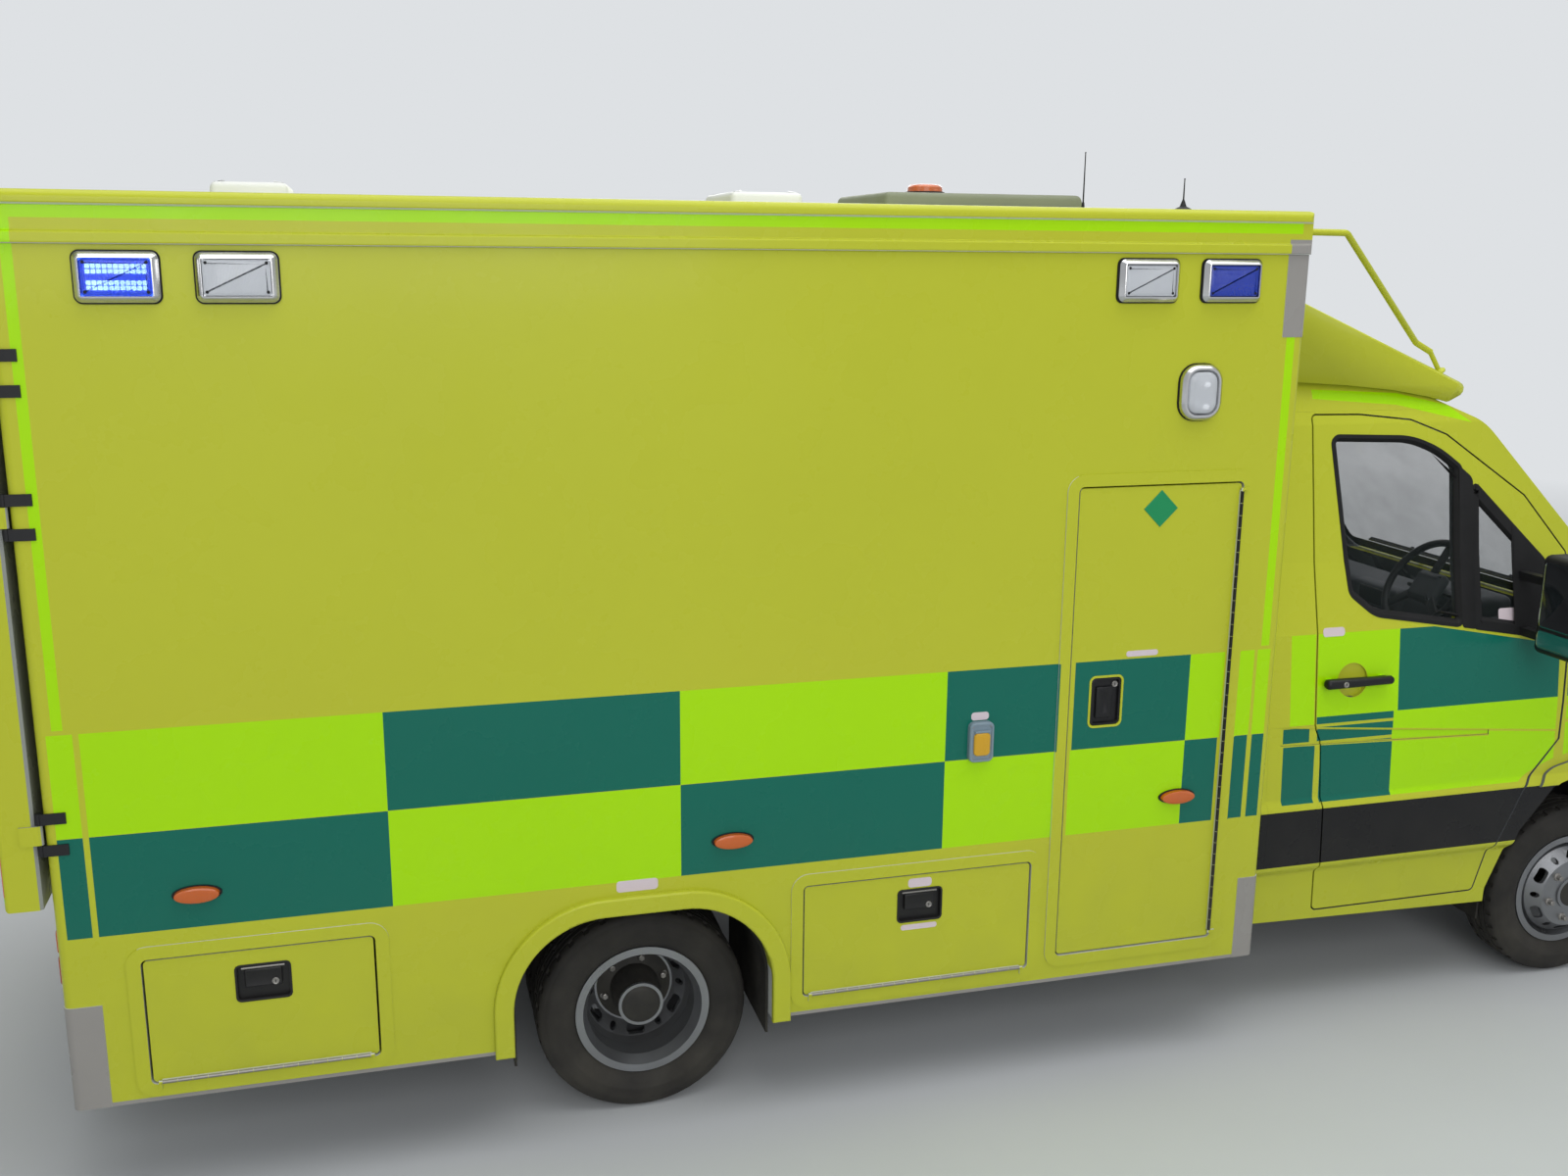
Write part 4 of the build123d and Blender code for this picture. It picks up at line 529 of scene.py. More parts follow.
# %% [markdown]
# ## Finishes on the CAD nodes
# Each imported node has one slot. A short table says which finish goes on which nodes, and the loop
# fills the slots. The nodes themselves are neither moved nor reshaped.
# %% Put the finishes on the nodes
DRESS = {
    box_paint: ["box_wall_left", "box_wall_right", "corner_posts", "box_roof", "locker_door",
                "hatch_right_rear", "hatch_right_front", "hatch_left_rear", "side_door",
                "rear_frame", "box_bulkhead"],
    cab_paint: ["cab_shell", "cab_door_left", "cab_door_right", "front_wings", "bonnet"],
    plain_paint: ["roof_fairing", "branch_guards", "arch_trims"],
    door_paint: ["rear_door_left", "rear_door_right"],
    clear_glass: ["windscreen", "cab_glass_left", "cab_glass_right"],
    tinted_glass: ["side_glass", "rear_glass_left", "rear_glass_right"],
    PLASTIC: ["front_bumper", "grille", "mirror_left", "mirror_right", "rear_hinges",
                          "steering_wheel"],
    CABIN_WITH_PAINTED_LIGHT: ["dashboard", "cab_floor"],
    TYRE: ["tyre_front_left", "tyre_front_right", "tyres_rear_left", "tyres_rear_right"],
    STEEL: ["rim_front_left", "rim_front_right", "rims_rear_left", "rims_rear_right"],
    CHASSIS: ["frame_rails", "chassis_frame", "front_axle", "rear_axle", "knuckle_left",
                          "knuckle_right", "rear_step"],
    CAST: ["engine_block"],
    LINER: ["arch_liners"],
    INNER: ["saloon_units"],
    FLOOR: ["box_floor"],
    WHITE: ["roof_units"],
    LOCKER: ["lockers"],
}
dressed = 0
for material, names in DRESS.items():
    for name in names:
        nodes[name].data.materials.clear()
        nodes[name].data.materials.append(material)
        dressed += 1
print("nodes dressed:", dressed, "of", len(nodes))

# %% [markdown]
# ## Helpers for modelling by hand
# The pieces below are made as one would make them at the desk: a primitive is added, shaped in edit
# mode and finished. Blender's operators act on all that is selected, and loading the frame left its
# nodes selected, so every piece starts by clearing the selection. Faces are picked in code, by where
# they lie and which way they look.
# %% Modelling helpers
ORIGIN = (0.0, 0.0, 0.0)
AHEAD = (1.0, 0.0, 0.0)
UP = (0.0, 0.0, 1.0)
SIDES = (("left", 1.0), ("right", -1.0))
FLIPS = (("left", False), ("right", True))


def clear_selection():
    """Leaves edit mode and deselects everything."""
    if bpy.context.object and bpy.context.object.mode == "EDIT":
        bpy.ops.object.mode_set(mode="OBJECT")
    bpy.ops.object.select_all(action="DESELECT")


def select_only(piece):
    """Makes a piece the active one and the only one selected."""
    clear_selection()
    bpy.context.view_layer.objects.active = piece
    piece.select_set(True)


def enter(piece, pick=None):
    """Opens a piece in edit mode with the faces selected for which pick(centre, normal) is true."""
    select_only(piece)
    bpy.ops.object.mode_set(mode="EDIT")
    bpy.ops.mesh.select_mode(type="FACE")
    bpy.ops.mesh.select_all(action="DESELECT" if pick else "SELECT")
    if pick:
        mesh = bmesh.from_edit_mesh(piece.data)
        for face in mesh.faces:
            face.select_set(bool(pick(face.calc_center_median(), face.normal)))
        bmesh.update_edit_mesh(piece.data)


def leave():
    """Back to object mode."""
    bpy.ops.object.mode_set(mode="OBJECT")


def inset_where(piece, pick, *steps):
    """Insets the picked faces again and again; each step is (inwards, outwards) in metres."""
    enter(piece, pick)
    for inward, outward in steps:
        bpy.ops.mesh.inset(thickness=inward, depth=outward)
    leave()
    return piece


def resize_where(piece, pick, value, centre):
    """Resizes the picked faces about a centre."""
    enter(piece, pick)
    bpy.ops.transform.resize(value=value, center_override=centre)
    leave()
    return piece


def slab(name, low, high, bevel=0.0, segments=3, material=None):
    """A block between two corners, its edges rounded where asked."""
    clear_selection()
    low, high = Vector(low), Vector(high)
    bpy.ops.mesh.primitive_cube_add(size=1.0, location=(low + high) / 2, scale=high - low)
    piece = bpy.context.object
    piece.name = name
    bpy.ops.object.transform_apply(location=True, rotation=True, scale=True)
    if bevel:
        enter(piece)
        bpy.ops.mesh.bevel(offset=bevel, segments=segments, affect="EDGES", profile=0.5)
        leave()
    return painted_with(piece, material)


def turned(name, profile, middle, axis=(0.0, 1.0, 0.0), steps=64, material=None):
    """A turned ring: one vertex is extruded along (along the axis, radius) and spun about middle."""
    clear_selection()
    axis = Vector(axis)
    side = Vector(UP) if abs(axis.z) < 0.5 else Vector(AHEAD)
    spots = [Vector(middle) + axis * along_axis + side * radius for along_axis, radius in profile]
    bpy.ops.mesh.primitive_plane_add(size=0.01, location=spots[0])
    piece = bpy.context.object
    piece.name = name
    bpy.ops.object.transform_apply(location=True, rotation=True, scale=True)
    bpy.ops.object.mode_set(mode="EDIT")
    bpy.ops.mesh.select_mode(type="VERT")
    bpy.ops.mesh.select_all(action="SELECT")
    bpy.ops.mesh.merge(type="CENTER")
    for before, after in zip(spots, spots[1:]):
        bpy.ops.mesh.extrude_region_move(TRANSFORM_OT_translate={"value": after - before})
    bpy.ops.mesh.select_all(action="SELECT")
    bpy.ops.mesh.spin(steps=steps, angle=2 * pi, center=middle, axis=axis)
    bpy.ops.mesh.select_all(action="SELECT")
    bpy.ops.mesh.remove_doubles(threshold=0.00002)
    bpy.ops.mesh.normals_make_consistent(inside=False)
    leave()
    return painted_with(piece, material)


def done(piece, material, body, smooth=35.0):
    """Gives a piece its finish and its shading, and lets it move with a body of the vehicle."""
    painted_with(piece, material)
    select_only(piece)
    bpy.ops.object.shade_smooth_by_angle(angle=radians(smooth))
    clear_selection()
    if body:
        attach(piece, body)
    return piece


def twin(piece, name, shift=ORIGIN, flip=False, turn=None):
    """A copy with its own mesh: turned about the origin, flipped to the other side, then shifted."""
    copy = piece.copy()
    copy.data = piece.data.copy()
    copy.name = name
    bpy.context.scene.collection.objects.link(copy)
    move = Matrix.Translation(Vector(shift))
    if flip:
        move = move @ Matrix.Scale(-1.0, 4, (0.0, 1.0, 0.0))
    if turn:
        move = move @ turn
    copy.data.transform(move)
    if flip:
        copy.data.flip_normals()
    return copy


def joined(name, parts):
    """Several pieces made one, each part keeping its own finish."""
    clear_selection()
    for part in parts:
        part.select_set(True)
    bpy.context.view_layer.objects.active = parts[0]
    bpy.ops.object.join()
    parts[0].name = name
    return parts[0]


def twin_and_drop(piece, name, shift=ORIGIN, flip=False, turn=None):
    """The copy of a pattern, with the pattern itself removed."""
    copy = twin(piece, name, shift, flip, turn)
    bpy.data.objects.remove(piece)
    return copy


def both_sides(right, left_name, right_body="root", left_body="root"):
    """A right-hand piece and its flipped copy, each on its body."""
    left = twin(right, left_name, flip=True)
    return [done(right, None, right_body), done(left, None, left_body)]


def painted_with(piece, material):
    """A piece with its one finish, where one is given."""
    if material:
        piece.data.materials.clear()
        piece.data.materials.append(material)
    return piece


print("helpers ready")

# %% [markdown]
# ## Tyres
# A road tyre is a turned body: bead, sidewall, shoulder, and a tread with grooves round it. Half of
# its section is listed from the bead to the middle of the tread and mirrored, and one vertex extruded
# along it is spun into the ring. Every third face across the outer ribs is then sunk, which cuts the
# cross grooves of the blocks. The five copies of the first tyre have their own meshes.
# %% One tyre
TYRE_R = 0.345
tyre_half = [(0.069, 0.2040), (0.0695, 0.2215), (0.078, 0.226), (0.086, 0.238), (0.0925, 0.252),
             (0.0962, 0.268), (0.0975, 0.272), (0.0975, 0.276), (0.0962, 0.281), (0.0945, 0.302),
             (0.0905, 0.318), (0.0885, 0.320), (0.0875, 0.323), (0.0830, 0.332), (0.0760, 0.3395),
             (0.0660, 0.3432), (0.0480, 0.3447), (0.0470, 0.3380), (0.0410, 0.3380),
             (0.0400, 0.3449), (0.0180, 0.3450), (0.0170, 0.3382), (0.0110, 0.3382),
             (0.0100, 0.3450)]
tyre_profile = tyre_half + [(-y, r) for y, r in reversed(tyre_half)] + [tyre_half[0]]
FRONT_X, REAR_AXLE_X = along(3.665), along(0.0)
FRONT_Y, OUTER_Y, INNER_Y = 0.862, 0.882, 0.652
STEPS = 108
tyre = turned("tyre_pattern", tyre_profile, ORIGIN, steps=STEPS)


def cross_groove(centre, normal):
    """True on every third face of the two outer ribs and of the middle rib."""
    radius = sqrt(centre.x ** 2 + centre.z ** 2)
    step = int((atan2(centre.z, centre.x) + pi) / (2 * pi) * STEPS)
    outer = 0.049 < abs(centre.y) < 0.081 and step % 3 == 0
    middle = abs(centre.y) < 0.009 and step % 4 == 0
    return radius > 0.3375 and (outer or middle)


enter(tyre, cross_groove)
bpy.ops.mesh.inset(thickness=0.0012, use_individual=False)
bpy.ops.transform.shrink_fatten(value=-0.0055)
leave()
print("faces of a tyre:", len(tyre.data.polygons))

# %% Six tyres
for side, flip in FLIPS:
    sign = -1.0 if flip else 1.0
    front = twin(tyre, f"dressed_tyre_front_{side}", (FRONT_X, sign * FRONT_Y, TYRE_R), flip)
    done(front, TYRE, f"wheel_front_{side}")
    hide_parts(f"tyre_front_{side}")
    pair = [twin(tyre, f"dressed_tyres_rear_{side}", (REAR_AXLE_X, sign * y, TYRE_R), flip)
            for y in (OUTER_Y, INNER_Y)]
    rear = done(joined(f"dressed_tyres_rear_{side}", pair), TYRE, f"wheels_rear_{side}")
    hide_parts(f"tyres_rear_{side}")
bpy.data.objects.remove(tyre)
print("tyres on the front and rear axles")

# %% [markdown]
# ## Wheel nuts and hubs
# Six nuts with round collars hold each wheel. The front ones stand proud, and those of the rear
# wheels sit deep in the dish round a dark hub. A nut is a turned collar with a hexagon on top, and a
# loop sets them round the axle.
# %% Nuts and hubs
NUTS = 6
NUT_CIRCLE = 0.1025
HUB_OUT = 0.115


def wheel_nuts(name, face_y, axle_x, flip, reach):
    """Six nuts on a circle, with their collars on the wheel's face."""
    parts = []
    for index in range(NUTS):
        turn = Matrix.Rotation(radians(360 / NUTS * index + 15), 4, "Y")
        centre = turn @ Vector((0.0, 0.0, NUT_CIRCLE))
        collar = turned("collar", [(0.0, 0.0005), (0.0, 0.0165), (0.004, 0.0150), (0.006, 0.0118),
                                   (0.006, 0.0005)], centre, steps=24)
        clear_selection()
        bpy.ops.mesh.primitive_cylinder_add(vertices=6, radius=0.0108, depth=reach,
                                            location=centre + Vector((0.0, 0.006 + reach / 2, 0.0)),
                                            rotation=(pi / 2, 0.0, 0.0))
        nut = bpy.context.object
        bpy.ops.object.transform_apply(location=True, rotation=True, scale=True)
        enter(nut, lambda spot, normal: normal.y > 0.9)
        bpy.ops.mesh.inset(thickness=0.002)
        bpy.ops.transform.translate(value=(0.0, 0.0015, 0.0))
        leave()
        parts += [collar, nut]
    way = -1.0 if flip else 1.0
    return twin_and_drop(joined("nuts", parts), name, (axle_x, way * face_y, TYRE_R), flip)


HUB_PROFILE = [(0.0, 0.0005), (0.0, 0.052), (-0.004, 0.056), (-0.022, 0.058), (-0.030, 0.066),
               (-0.060, 0.068)]
REAR_HUB_PROFILE = [(0.047, 0.0005), (0.047, 0.050), (0.044, 0.060), (0.030, 0.074), (0.0, 0.0755),
                    (-0.030, 0.080), (-0.090, 0.082), (-0.104, 0.125)]
HUBS = [("front", "wheel_front", FRONT_X, FRONT_Y, HUB_OUT, 0.016, HUB_PROFILE, HUB_OUT + 0.0075),
        ("rear", "wheels_rear", REAR_AXLE_X, OUTER_Y, 0.010 - HUB_OUT, 0.014, REAR_HUB_PROFILE, 0.0)]
for side, flip in FLIPS:
    for axle, body, x, y, nuts_out, reach, profile, hub_out in HUBS:
        nuts = wheel_nuts(f"wheel_nuts_{axle}_{side}", y + nuts_out, x, flip, reach)
        done(nuts, ALLOY, f"{body}_{side}")
        hub = turned("hub", profile, (0.0, hub_out, 0.0), steps=48)
        hub = twin_and_drop(hub, f"hub_{axle}_{side}", (x, -y if flip else y, TYRE_R), flip)
        done(hub, CHASSIS, f"{body}_{side}")
print("nuts to a wheel:", NUTS)

# %% [markdown]
# ## Plates with rounded corners
# Lamps, handles and the inlet on the wall all start as a plate whose corners are round seen from the
# side while its face stays flat. So a block is added between two corners, only its four edges that
# run along Y are bevelled, and its outer face is then stepped in or out with insets. Everything is
# made on the right-hand wall, where Y is negative, and a flipped copy serves the other side.
# %% Plates on the wall
PLATE_STEPS = 6


def plate(name, x_span, z_span, y_span, radius, material=None):
    """A block on the right-hand wall with round corners; y_span is (near the wall, out)."""
    piece = slab(name, (x_span[0], -y_span[1], z_span[0]), (x_span[1], -y_span[0], z_span[1]))
    enter(piece)
    bpy.ops.mesh.select_all(action="DESELECT")
    bpy.ops.mesh.select_mode(type="EDGE")
    mesh = bmesh.from_edit_mesh(piece.data)
    for edge in mesh.edges:
        run = edge.verts[1].co - edge.verts[0].co
        edge.select_set(abs(run.y) > 0.99 * run.length)
    bmesh.update_edit_mesh(piece.data)
    bpy.ops.mesh.bevel(offset=radius, segments=PLATE_STEPS, affect="EDGES")
    leave()
    return painted_with(piece, material)


def step_face(piece, *steps):
    """Insets the outer face again and again; each step is (inwards, outwards) in metres."""
    limit = face_limit(piece)
    return inset_where(piece, lambda centre, normal: normal.y < -0.99 and centre.y < limit, *steps)


def open_back(piece):
    """Deletes the face towards the wall, so that a tray deeper than its rim isn't closed by it."""
    enter(piece, lambda centre, normal: normal.y > 0.99)
    bpy.ops.mesh.delete(type="FACE")
    leave()
    return piece


def face_limit(piece):
    """A little inside the outermost Y of a piece on the right-hand wall."""
    return min(v.co.y for v in piece.data.vertices) + 0.0005


def around(middle, half):
    """The span that reaches half a length to both sides of a middle."""
    return (middle - half, middle + half)


def shrunk(span, by):
    """A span made shorter by the same length at both ends."""
    return (span[0] + by, span[1] - by)


print("a rounded corner has", PLATE_STEPS, "steps")

# %% [markdown]
# ## Lamp finishes
# A clear lens is ribbed inside, so it blurs what lies behind it; the ribs are a wave bump. The blue
# lenses are dark when off. The rear blue lamp is lit in the portrait: its diodes give off light of their
# own, and the board behind them is a brighter, glowing copy of the dark board, painted light of the diodes.
# %% Lens, reflector and diode finishes


def lens(name, tint, clear, ribs):
    """A moulded lens: tinted, partly clear and ribbed upright."""
    material = pane(name, tint, clear)
    tree = material.node_tree
    place = added(tree, "TexCoord", {}).outputs["Object"]
    wave = added(tree, "TexWave", {"Scale": ribs, "Vector": place})
    shader = wired(tree, tree.nodes["Principled BSDF"], {"Roughness": 0.12, "Coat Weight": 0.6})
    skin(tree, shader, wave.outputs["Fac"], 0.0006)
    return material


def glowing(name, colour, light, strength):
    """A finish that gives off light of its own."""
    material, tree, shader, place = new_finish(name)
    pale = mixed(tree, noise(tree, place, 40.0), colour, screen(255, 255, 255))
    wired(tree, shader, {"Base Color": pale, "Emission Color": light, "Emission Strength": strength,
                         "Roughness": 0.3})
    return material


clear_lens = lens("clear_lens", screen(226, 230, 236), 0.45, 90.0)
blue_lens = lens("blue_lens", screen(18, 60, 190), 0.40, 60.0)
amber_lens = lens("amber_lens", screen(206, 96, 14), 0.08, 120.0)
red_lens = lens("red_lens", screen(170, 16, 16), 0.08, 120.0)
diode_lit = glowing("diode_lit", screen(190, 235, 255), (0.55, 0.85, 1.0, 1.0), 9.0)
# The board of the lit lamp: a brighter copy of the dark board that glows blue, painted light of the diodes
# that shine on it.
board_painted_glow = glowing("board_painted_glow", screen(20, 80, 255), (0.0, 0.10, 1.0, 1.0), 1.6)
board_dark = finish("board_dark", screen(20, 34, 92), 0.4)
reflector = finish("reflector", screen(206, 208, 212), 0.18, 0.9, 0.1, 0.0, 300.0, 0.0002)
print("lenses:", clear_lens.name, blue_lens.name, amber_lens.name, red_lens.name)

# %% [markdown]
# ## The lamps along the top
# Each lamp is a black gasket, a bright stepped bezel, a lens and what shows behind it: rows of diodes
# in the blue ones, and a trough with a flash tube in the clear ones. Four screws hold the lens. They
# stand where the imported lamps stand, and the set is flipped for the other side.
# %% One side lamp
LAMP_HALF = (0.107, 0.069)
LAMP_Z = 2.683
DIODE_ROWS = (-0.02775, -0.01425, 0.01425, 0.02775)
DIODE_COLUMNS = 11
DIODE_STEP = 0.0135
DIODE_HALF = 0.0052
COVERS = {"clear": clear_lens, "blue": blue_lens, "lit": blue_lens}
# The lit lamp's board is the painted glow of its diodes, not a light of its own.
BOARDS = {"clear": reflector, "blue": board_dark, "lit": board_painted_glow}


def side_lamp(name, x, kind):
    """A lamp on the right-hand wall; kind is clear, blue or lit."""
    wide, high = around(x, LAMP_HALF[0]), around(LAMP_Z, LAMP_HALF[1])
    gasket = plate("gasket", wide, high, (1.1003, 1.1060), 0.022, RUBBER)
    bezel = plate("bezel", shrunk(wide, 0.004), shrunk(high, 0.004), (1.1050, 1.1120), 0.019, BRIGHT)
    step_face(bezel, (0.0015, 0.0015), (0.010, 0.014), (0.0015, 0.001), (0.003, 0.0),
              (0.0015, -0.006), (0.001, -0.012))
    inner_x, inner_z = shrunk(wide, 0.0225), shrunk(high, 0.0225)
    cover = plate("cover", inner_x, inner_z, (1.1170, 1.1235), 0.008, COVERS[kind])
    step_face(cover, (0.002, 0.0015), (0.010, 0.0012))
    board = slab("board", (inner_x[0], -1.1135, inner_z[0]), (inner_x[1], -1.1125, inner_z[1]),
                 material=BOARDS[kind])
    parts = [gasket, bezel, cover, board]
    if kind == "clear":
        parts.append(turned("tube", [(-0.040, 0.0005), (-0.040, 0.004), (0.040, 0.004), (0.040, 0.0005)],
                            (x, -1.1150, LAMP_Z), axis=UP, steps=16, material=WHITE))
    else:
        finish_of = diode_lit if kind == "lit" else reflector
        for rise in DIODE_ROWS:
            low_z, high_z = around(LAMP_Z + rise, DIODE_HALF)
            for column in range(DIODE_COLUMNS):
                low_x, high_x = around(x + (column - (DIODE_COLUMNS - 1) / 2) * DIODE_STEP, DIODE_HALF)
                parts.append(slab("diode", (low_x, -1.1160, low_z), (high_x, -1.1130, high_z), 0.002, 2,
                                  material=finish_of))
    for screw_x in shrunk(inner_x, 0.009):
        for screw_z in shrunk(inner_z, 0.009):
            parts.append(turned("screw", [(0.0, 0.0045), (-0.0014, 0.004), (-0.0016, 0.0003)],
                                (screw_x, -1.1252, screw_z), steps=12, material=CHASSIS))
    return joined(name, parts)


LAMPS = [("rear_blue", -1.366, "lit"), ("rear_clear", -1.073, "clear"), ("front_clear", 1.592, "clear"),
         ("front_blue", 1.884, "blue")]
side_lamps = []
for label, x, kind in LAMPS:
    lamp = side_lamp(f"side_lamp_{label}_right", along(x), kind)
    side_lamps += both_sides(lamp, f"side_lamp_{label}_left")
print("side lamps:", len(side_lamps))

# %% [markdown]
# The scene lamp lights the ground beside the vehicle. Its bright ring is thick and almost oval, its
# lens bulges, and two small mirrors are stacked behind it.
# %% Scene lamps, markers and tail lamps
SCENE_X = (along(1.722), along(1.873))
SCENE_Z = (2.243, 2.427)


def scene_lamp(name):
    """The lamp under the front clear lamp."""
    gasket = plate("gasket", SCENE_X, SCENE_Z, (1.1003, 1.105), 0.060, RUBBER)
    ring_x, ring_z = shrunk(SCENE_X, 0.003), shrunk(SCENE_Z, 0.003)
    ring = plate("ring", ring_x, ring_z, (1.104, 1.118), 0.056, BRIGHT)
    step_face(ring, (0.003, 0.006), (0.008, 0.006), (0.006, 0.0), (0.002, -0.003), (0.004, -0.012))
    cover = plate("cover", shrunk(ring_x, 0.023), shrunk(ring_z, 0.023), (1.116, 1.126), 0.034,
                  clear_lens)
    step_face(cover, (0.003, 0.005), (0.008, 0.004), (0.012, 0.002))
    parts = [gasket, ring, cover]
    for z in (2.300, 2.370):
        parts.append(turned("dish", [(0.004, 0.0005), (0.003, 0.012), (-0.001, 0.022), (-0.006, 0.030)],
                            (sum(SCENE_X) / 2, -1.118, z), steps=24, material=reflector))
    parts.append(plate("back", shrunk(ring_x, 0.022), shrunk(ring_z, 0.022), (1.110, 1.112), 0.034,
                       material=reflector))
    return joined(name, parts)


def marker_lamp(name, x, z=0.966):
    """An amber oval lamp on a black base."""
    base = turned("base", [(0.0, 0.0255), (-0.005, 0.0255), (-0.006, 0.0240), (-0.006, 0.0225)],
                  ORIGIN, steps=48)
    dome = turned("dome", [(-0.004, 0.0232), (-0.0196, 0.0227), (-0.0212, 0.0206), (-0.0222, 0.0130),
                           (-0.0225, 0.0003)], ORIGIN, steps=48)
    for part, material in ((base, RUBBER), (dome, amber_lens)):
        resize_where(painted_with(part, material), None, (2.66, 1.0, 1.0), ORIGIN)
    return twin_and_drop(joined("oval", [base, dome]), name, (x, -1.1003, z))


side_lamps += both_sides(scene_lamp("scene_lamp_right"), "scene_lamp_left")
for label, x in (("rear", -1.302), ("middle", 0.266)):
    side_lamps += both_sides(marker_lamp(f"marker_{label}_right", along(x)), f"marker_{label}_left")
both_sides(marker_lamp("marker_locker_door", along(1.819)), "marker_side_door", "locker_door", "side_door")
print("lamps on the sides so far:", len(side_lamps))

# %% [markdown]
# The lamps at the back face the other way, so they are modelled on the wall as well and then turned
# a quarter about the upright axis. The high ones are of the same kind as the blue side lamps. The low
# ones stack an amber, a red and a clear lens on a black base.
# %% Lamps at the back
TO_REAR = Matrix.Rotation(radians(-90.0), 4, "Z")
REAR_FACE = along(-1.680)
TAIL_LENSES = [(0.052, 0.126, amber_lens), (-0.048, 0.044, red_lens), (-0.126, -0.056, clear_lens)]


def tail_lamp(name):
    """A stack of three lenses on a base, standing at the origin and facing -Y."""
    base = plate("base", (-0.079, 0.079), (-0.139, 0.139), (0.0004, 0.020), 0.018, PLASTIC)
    parts = [step_face(base, (0.004, 0.003), (0.004, -0.003))]
    for low, high, material in TAIL_LENSES:
        cover = plate("cover", (-0.067, 0.067), (low, high), (0.018, 0.030), 0.012, material)
        parts.append(step_face(cover, (0.003, 0.003), (0.012, 0.002)))
    return joined(name, parts)


tail = tail_lamp("tail")
high_from = bpy.data.objects["side_lamp_front_blue_right"]
to_origin = Matrix.Translation((-along(1.884), 1.100, -LAMP_Z))
for side, way in SIDES:
    low_lamp = twin(tail, f"tail_lamp_{side}", (REAR_FACE, way * 0.88, 0.70), turn=TO_REAR)
    high_lamp = twin(high_from, f"high_lamp_{side}", (REAR_FACE, way * 0.85, 2.675),
                     turn=TO_REAR @ to_origin)
    side_lamps += [done(low_lamp, None, "root"), done(high_lamp, None, "root")]
bpy.data.objects.remove(tail)
for lamp in side_lamps:
    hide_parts("body_lamps")
print("lamps in place of the packed ones:", len(side_lamps))

# %% [markdown]
# ## Handles in their recesses
# The hatches have black pans with a lever in them, and the locker door and side door have upright
# paddles with a lock beside them. A pan is a plate whose face is stepped in by an inset that goes
# down almost to the floor of the recess. The lever is a block with soft edges and a finger scoop.
# %% Pans, levers and paddles
PULL = finish("handle_black", screen(24, 24, 26), 0.38, grain=1000.0, depth=0.0002)


def pan(x, z, half_x, half_z, radius):
    """A tray that lines a recess, with a flange on the panel's face."""
    tray = open_back(plate("tray", around(x, half_x), around(z, half_z), (1.1001, 1.1022), radius, PULL))
    return step_face(tray, (0.0010, 0.0008), (0.0045, 0.0), (0.0010, -0.0008), (0.0012, -0.0155))


def lock(x, z, out):
    """A round lock with its key slot."""
    barrel = turned("barrel", [(0.004, 0.0105), (-0.0006, 0.0105), (-0.0016, 0.0092), (-0.0010, 0.0080),
                               (-0.0010, 0.0003)], (x, -out, z), steps=24, material=ALLOY)
    slit = slab("slit", (x - 0.0011, -out - 0.0004, z - 0.0045), (x + 0.0011, -out - 0.0014, z + 0.0045),
                material=RUBBER)
    return [barrel, slit]


def hatch_handle(name, x, z):
    """A pan with a lever hinged along its upper edge."""
    parts = [pan(x, z, 0.0785, 0.0585, 0.016)]
    lever = slab("lever", (x - 0.052, -1.0985, z - 0.016), (x + 0.052, -1.0880, z + 0.040), 0.004, 3, PULL)
    parts.append(inset_where(lever, lambda centre, normal: normal.y < -0.99 and centre.z > z,
                             (0.007, -0.003)))
    parts.append(turned("pin", [(-0.060, 0.0003), (-0.060, 0.0045), (0.060, 0.0045), (0.060, 0.0003)],
                        (x, -1.0925, z + 0.044), axis=AHEAD, steps=16, material=ALLOY))
    parts += lock(x + 0.033, z - 0.004, 1.0985)
    return joined(name, parts)


def paddle(name, x, z):
    """An upright paddle in a rounded pan with a pale edge and a lock at its upper corner."""
    rim = open_back(plate("rim", around(x, 0.062), around(z, 0.0895), (1.1001, 1.1014), 0.022, plain_paint))
    step_face(rim, (0.0006, 0.0006), (0.0065, 0.0), (0.0006, -0.0006), (0.0010, -0.014))
    tray = plate("tray", around(x, 0.0540), around(z, 0.0815), (1.0846, 1.0995), 0.018, PULL)
    step_face(tray, (0.0030, 0.0015), (0.0040, 0.0), (0.0030, -0.0100))
    flap = slab("flap", (x - 0.034, -1.1000, z - 0.058), (x + 0.024, -1.0900, z + 0.050), 0.005, 3, PULL)
    inset_where(flap, lambda centre, normal: normal.y < -0.99 and abs(centre.x - x + 0.005) < 0.01,
                (0.010, 0.0), (0.006, -0.004))
    parts = [rim, tray, flap] + lock(x + 0.034, z + 0.056, 1.0945)
    return joined(name, parts)


rear_pull = hatch_handle("handle_hatch_right_rear", along(-1.142), 0.671)
done(twin(rear_pull, "handle_hatch_left_rear", flip=True), None, "hatch_left_rear")
done(rear_pull, None, "hatch_right_rear")
done(hatch_handle("handle_hatch_right_front", along(0.898), 0.674), None, "hatch_right_front")
done(paddle("handle_locker_door", along(1.532), 1.323), None, "locker_door")
side_paddle = twin_and_drop(paddle("side_paddle", along(1.260), 1.250), "handle_side_door", flip=True)
done(side_paddle, None, "side_door")
print("handles made: 5")

# %% [markdown]
# ## Piano hinges
# A piano hinge is one long rod of short knuckles. Its section is listed knuckle by knuckle along the
# axis, with a fine groove between two of them, and spun once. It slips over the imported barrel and
# swings with the panel.
# %% Piano hinges
KNUCKLE = 0.040
HINGE_OUT = 1.111
HINGE_R = 0.0054


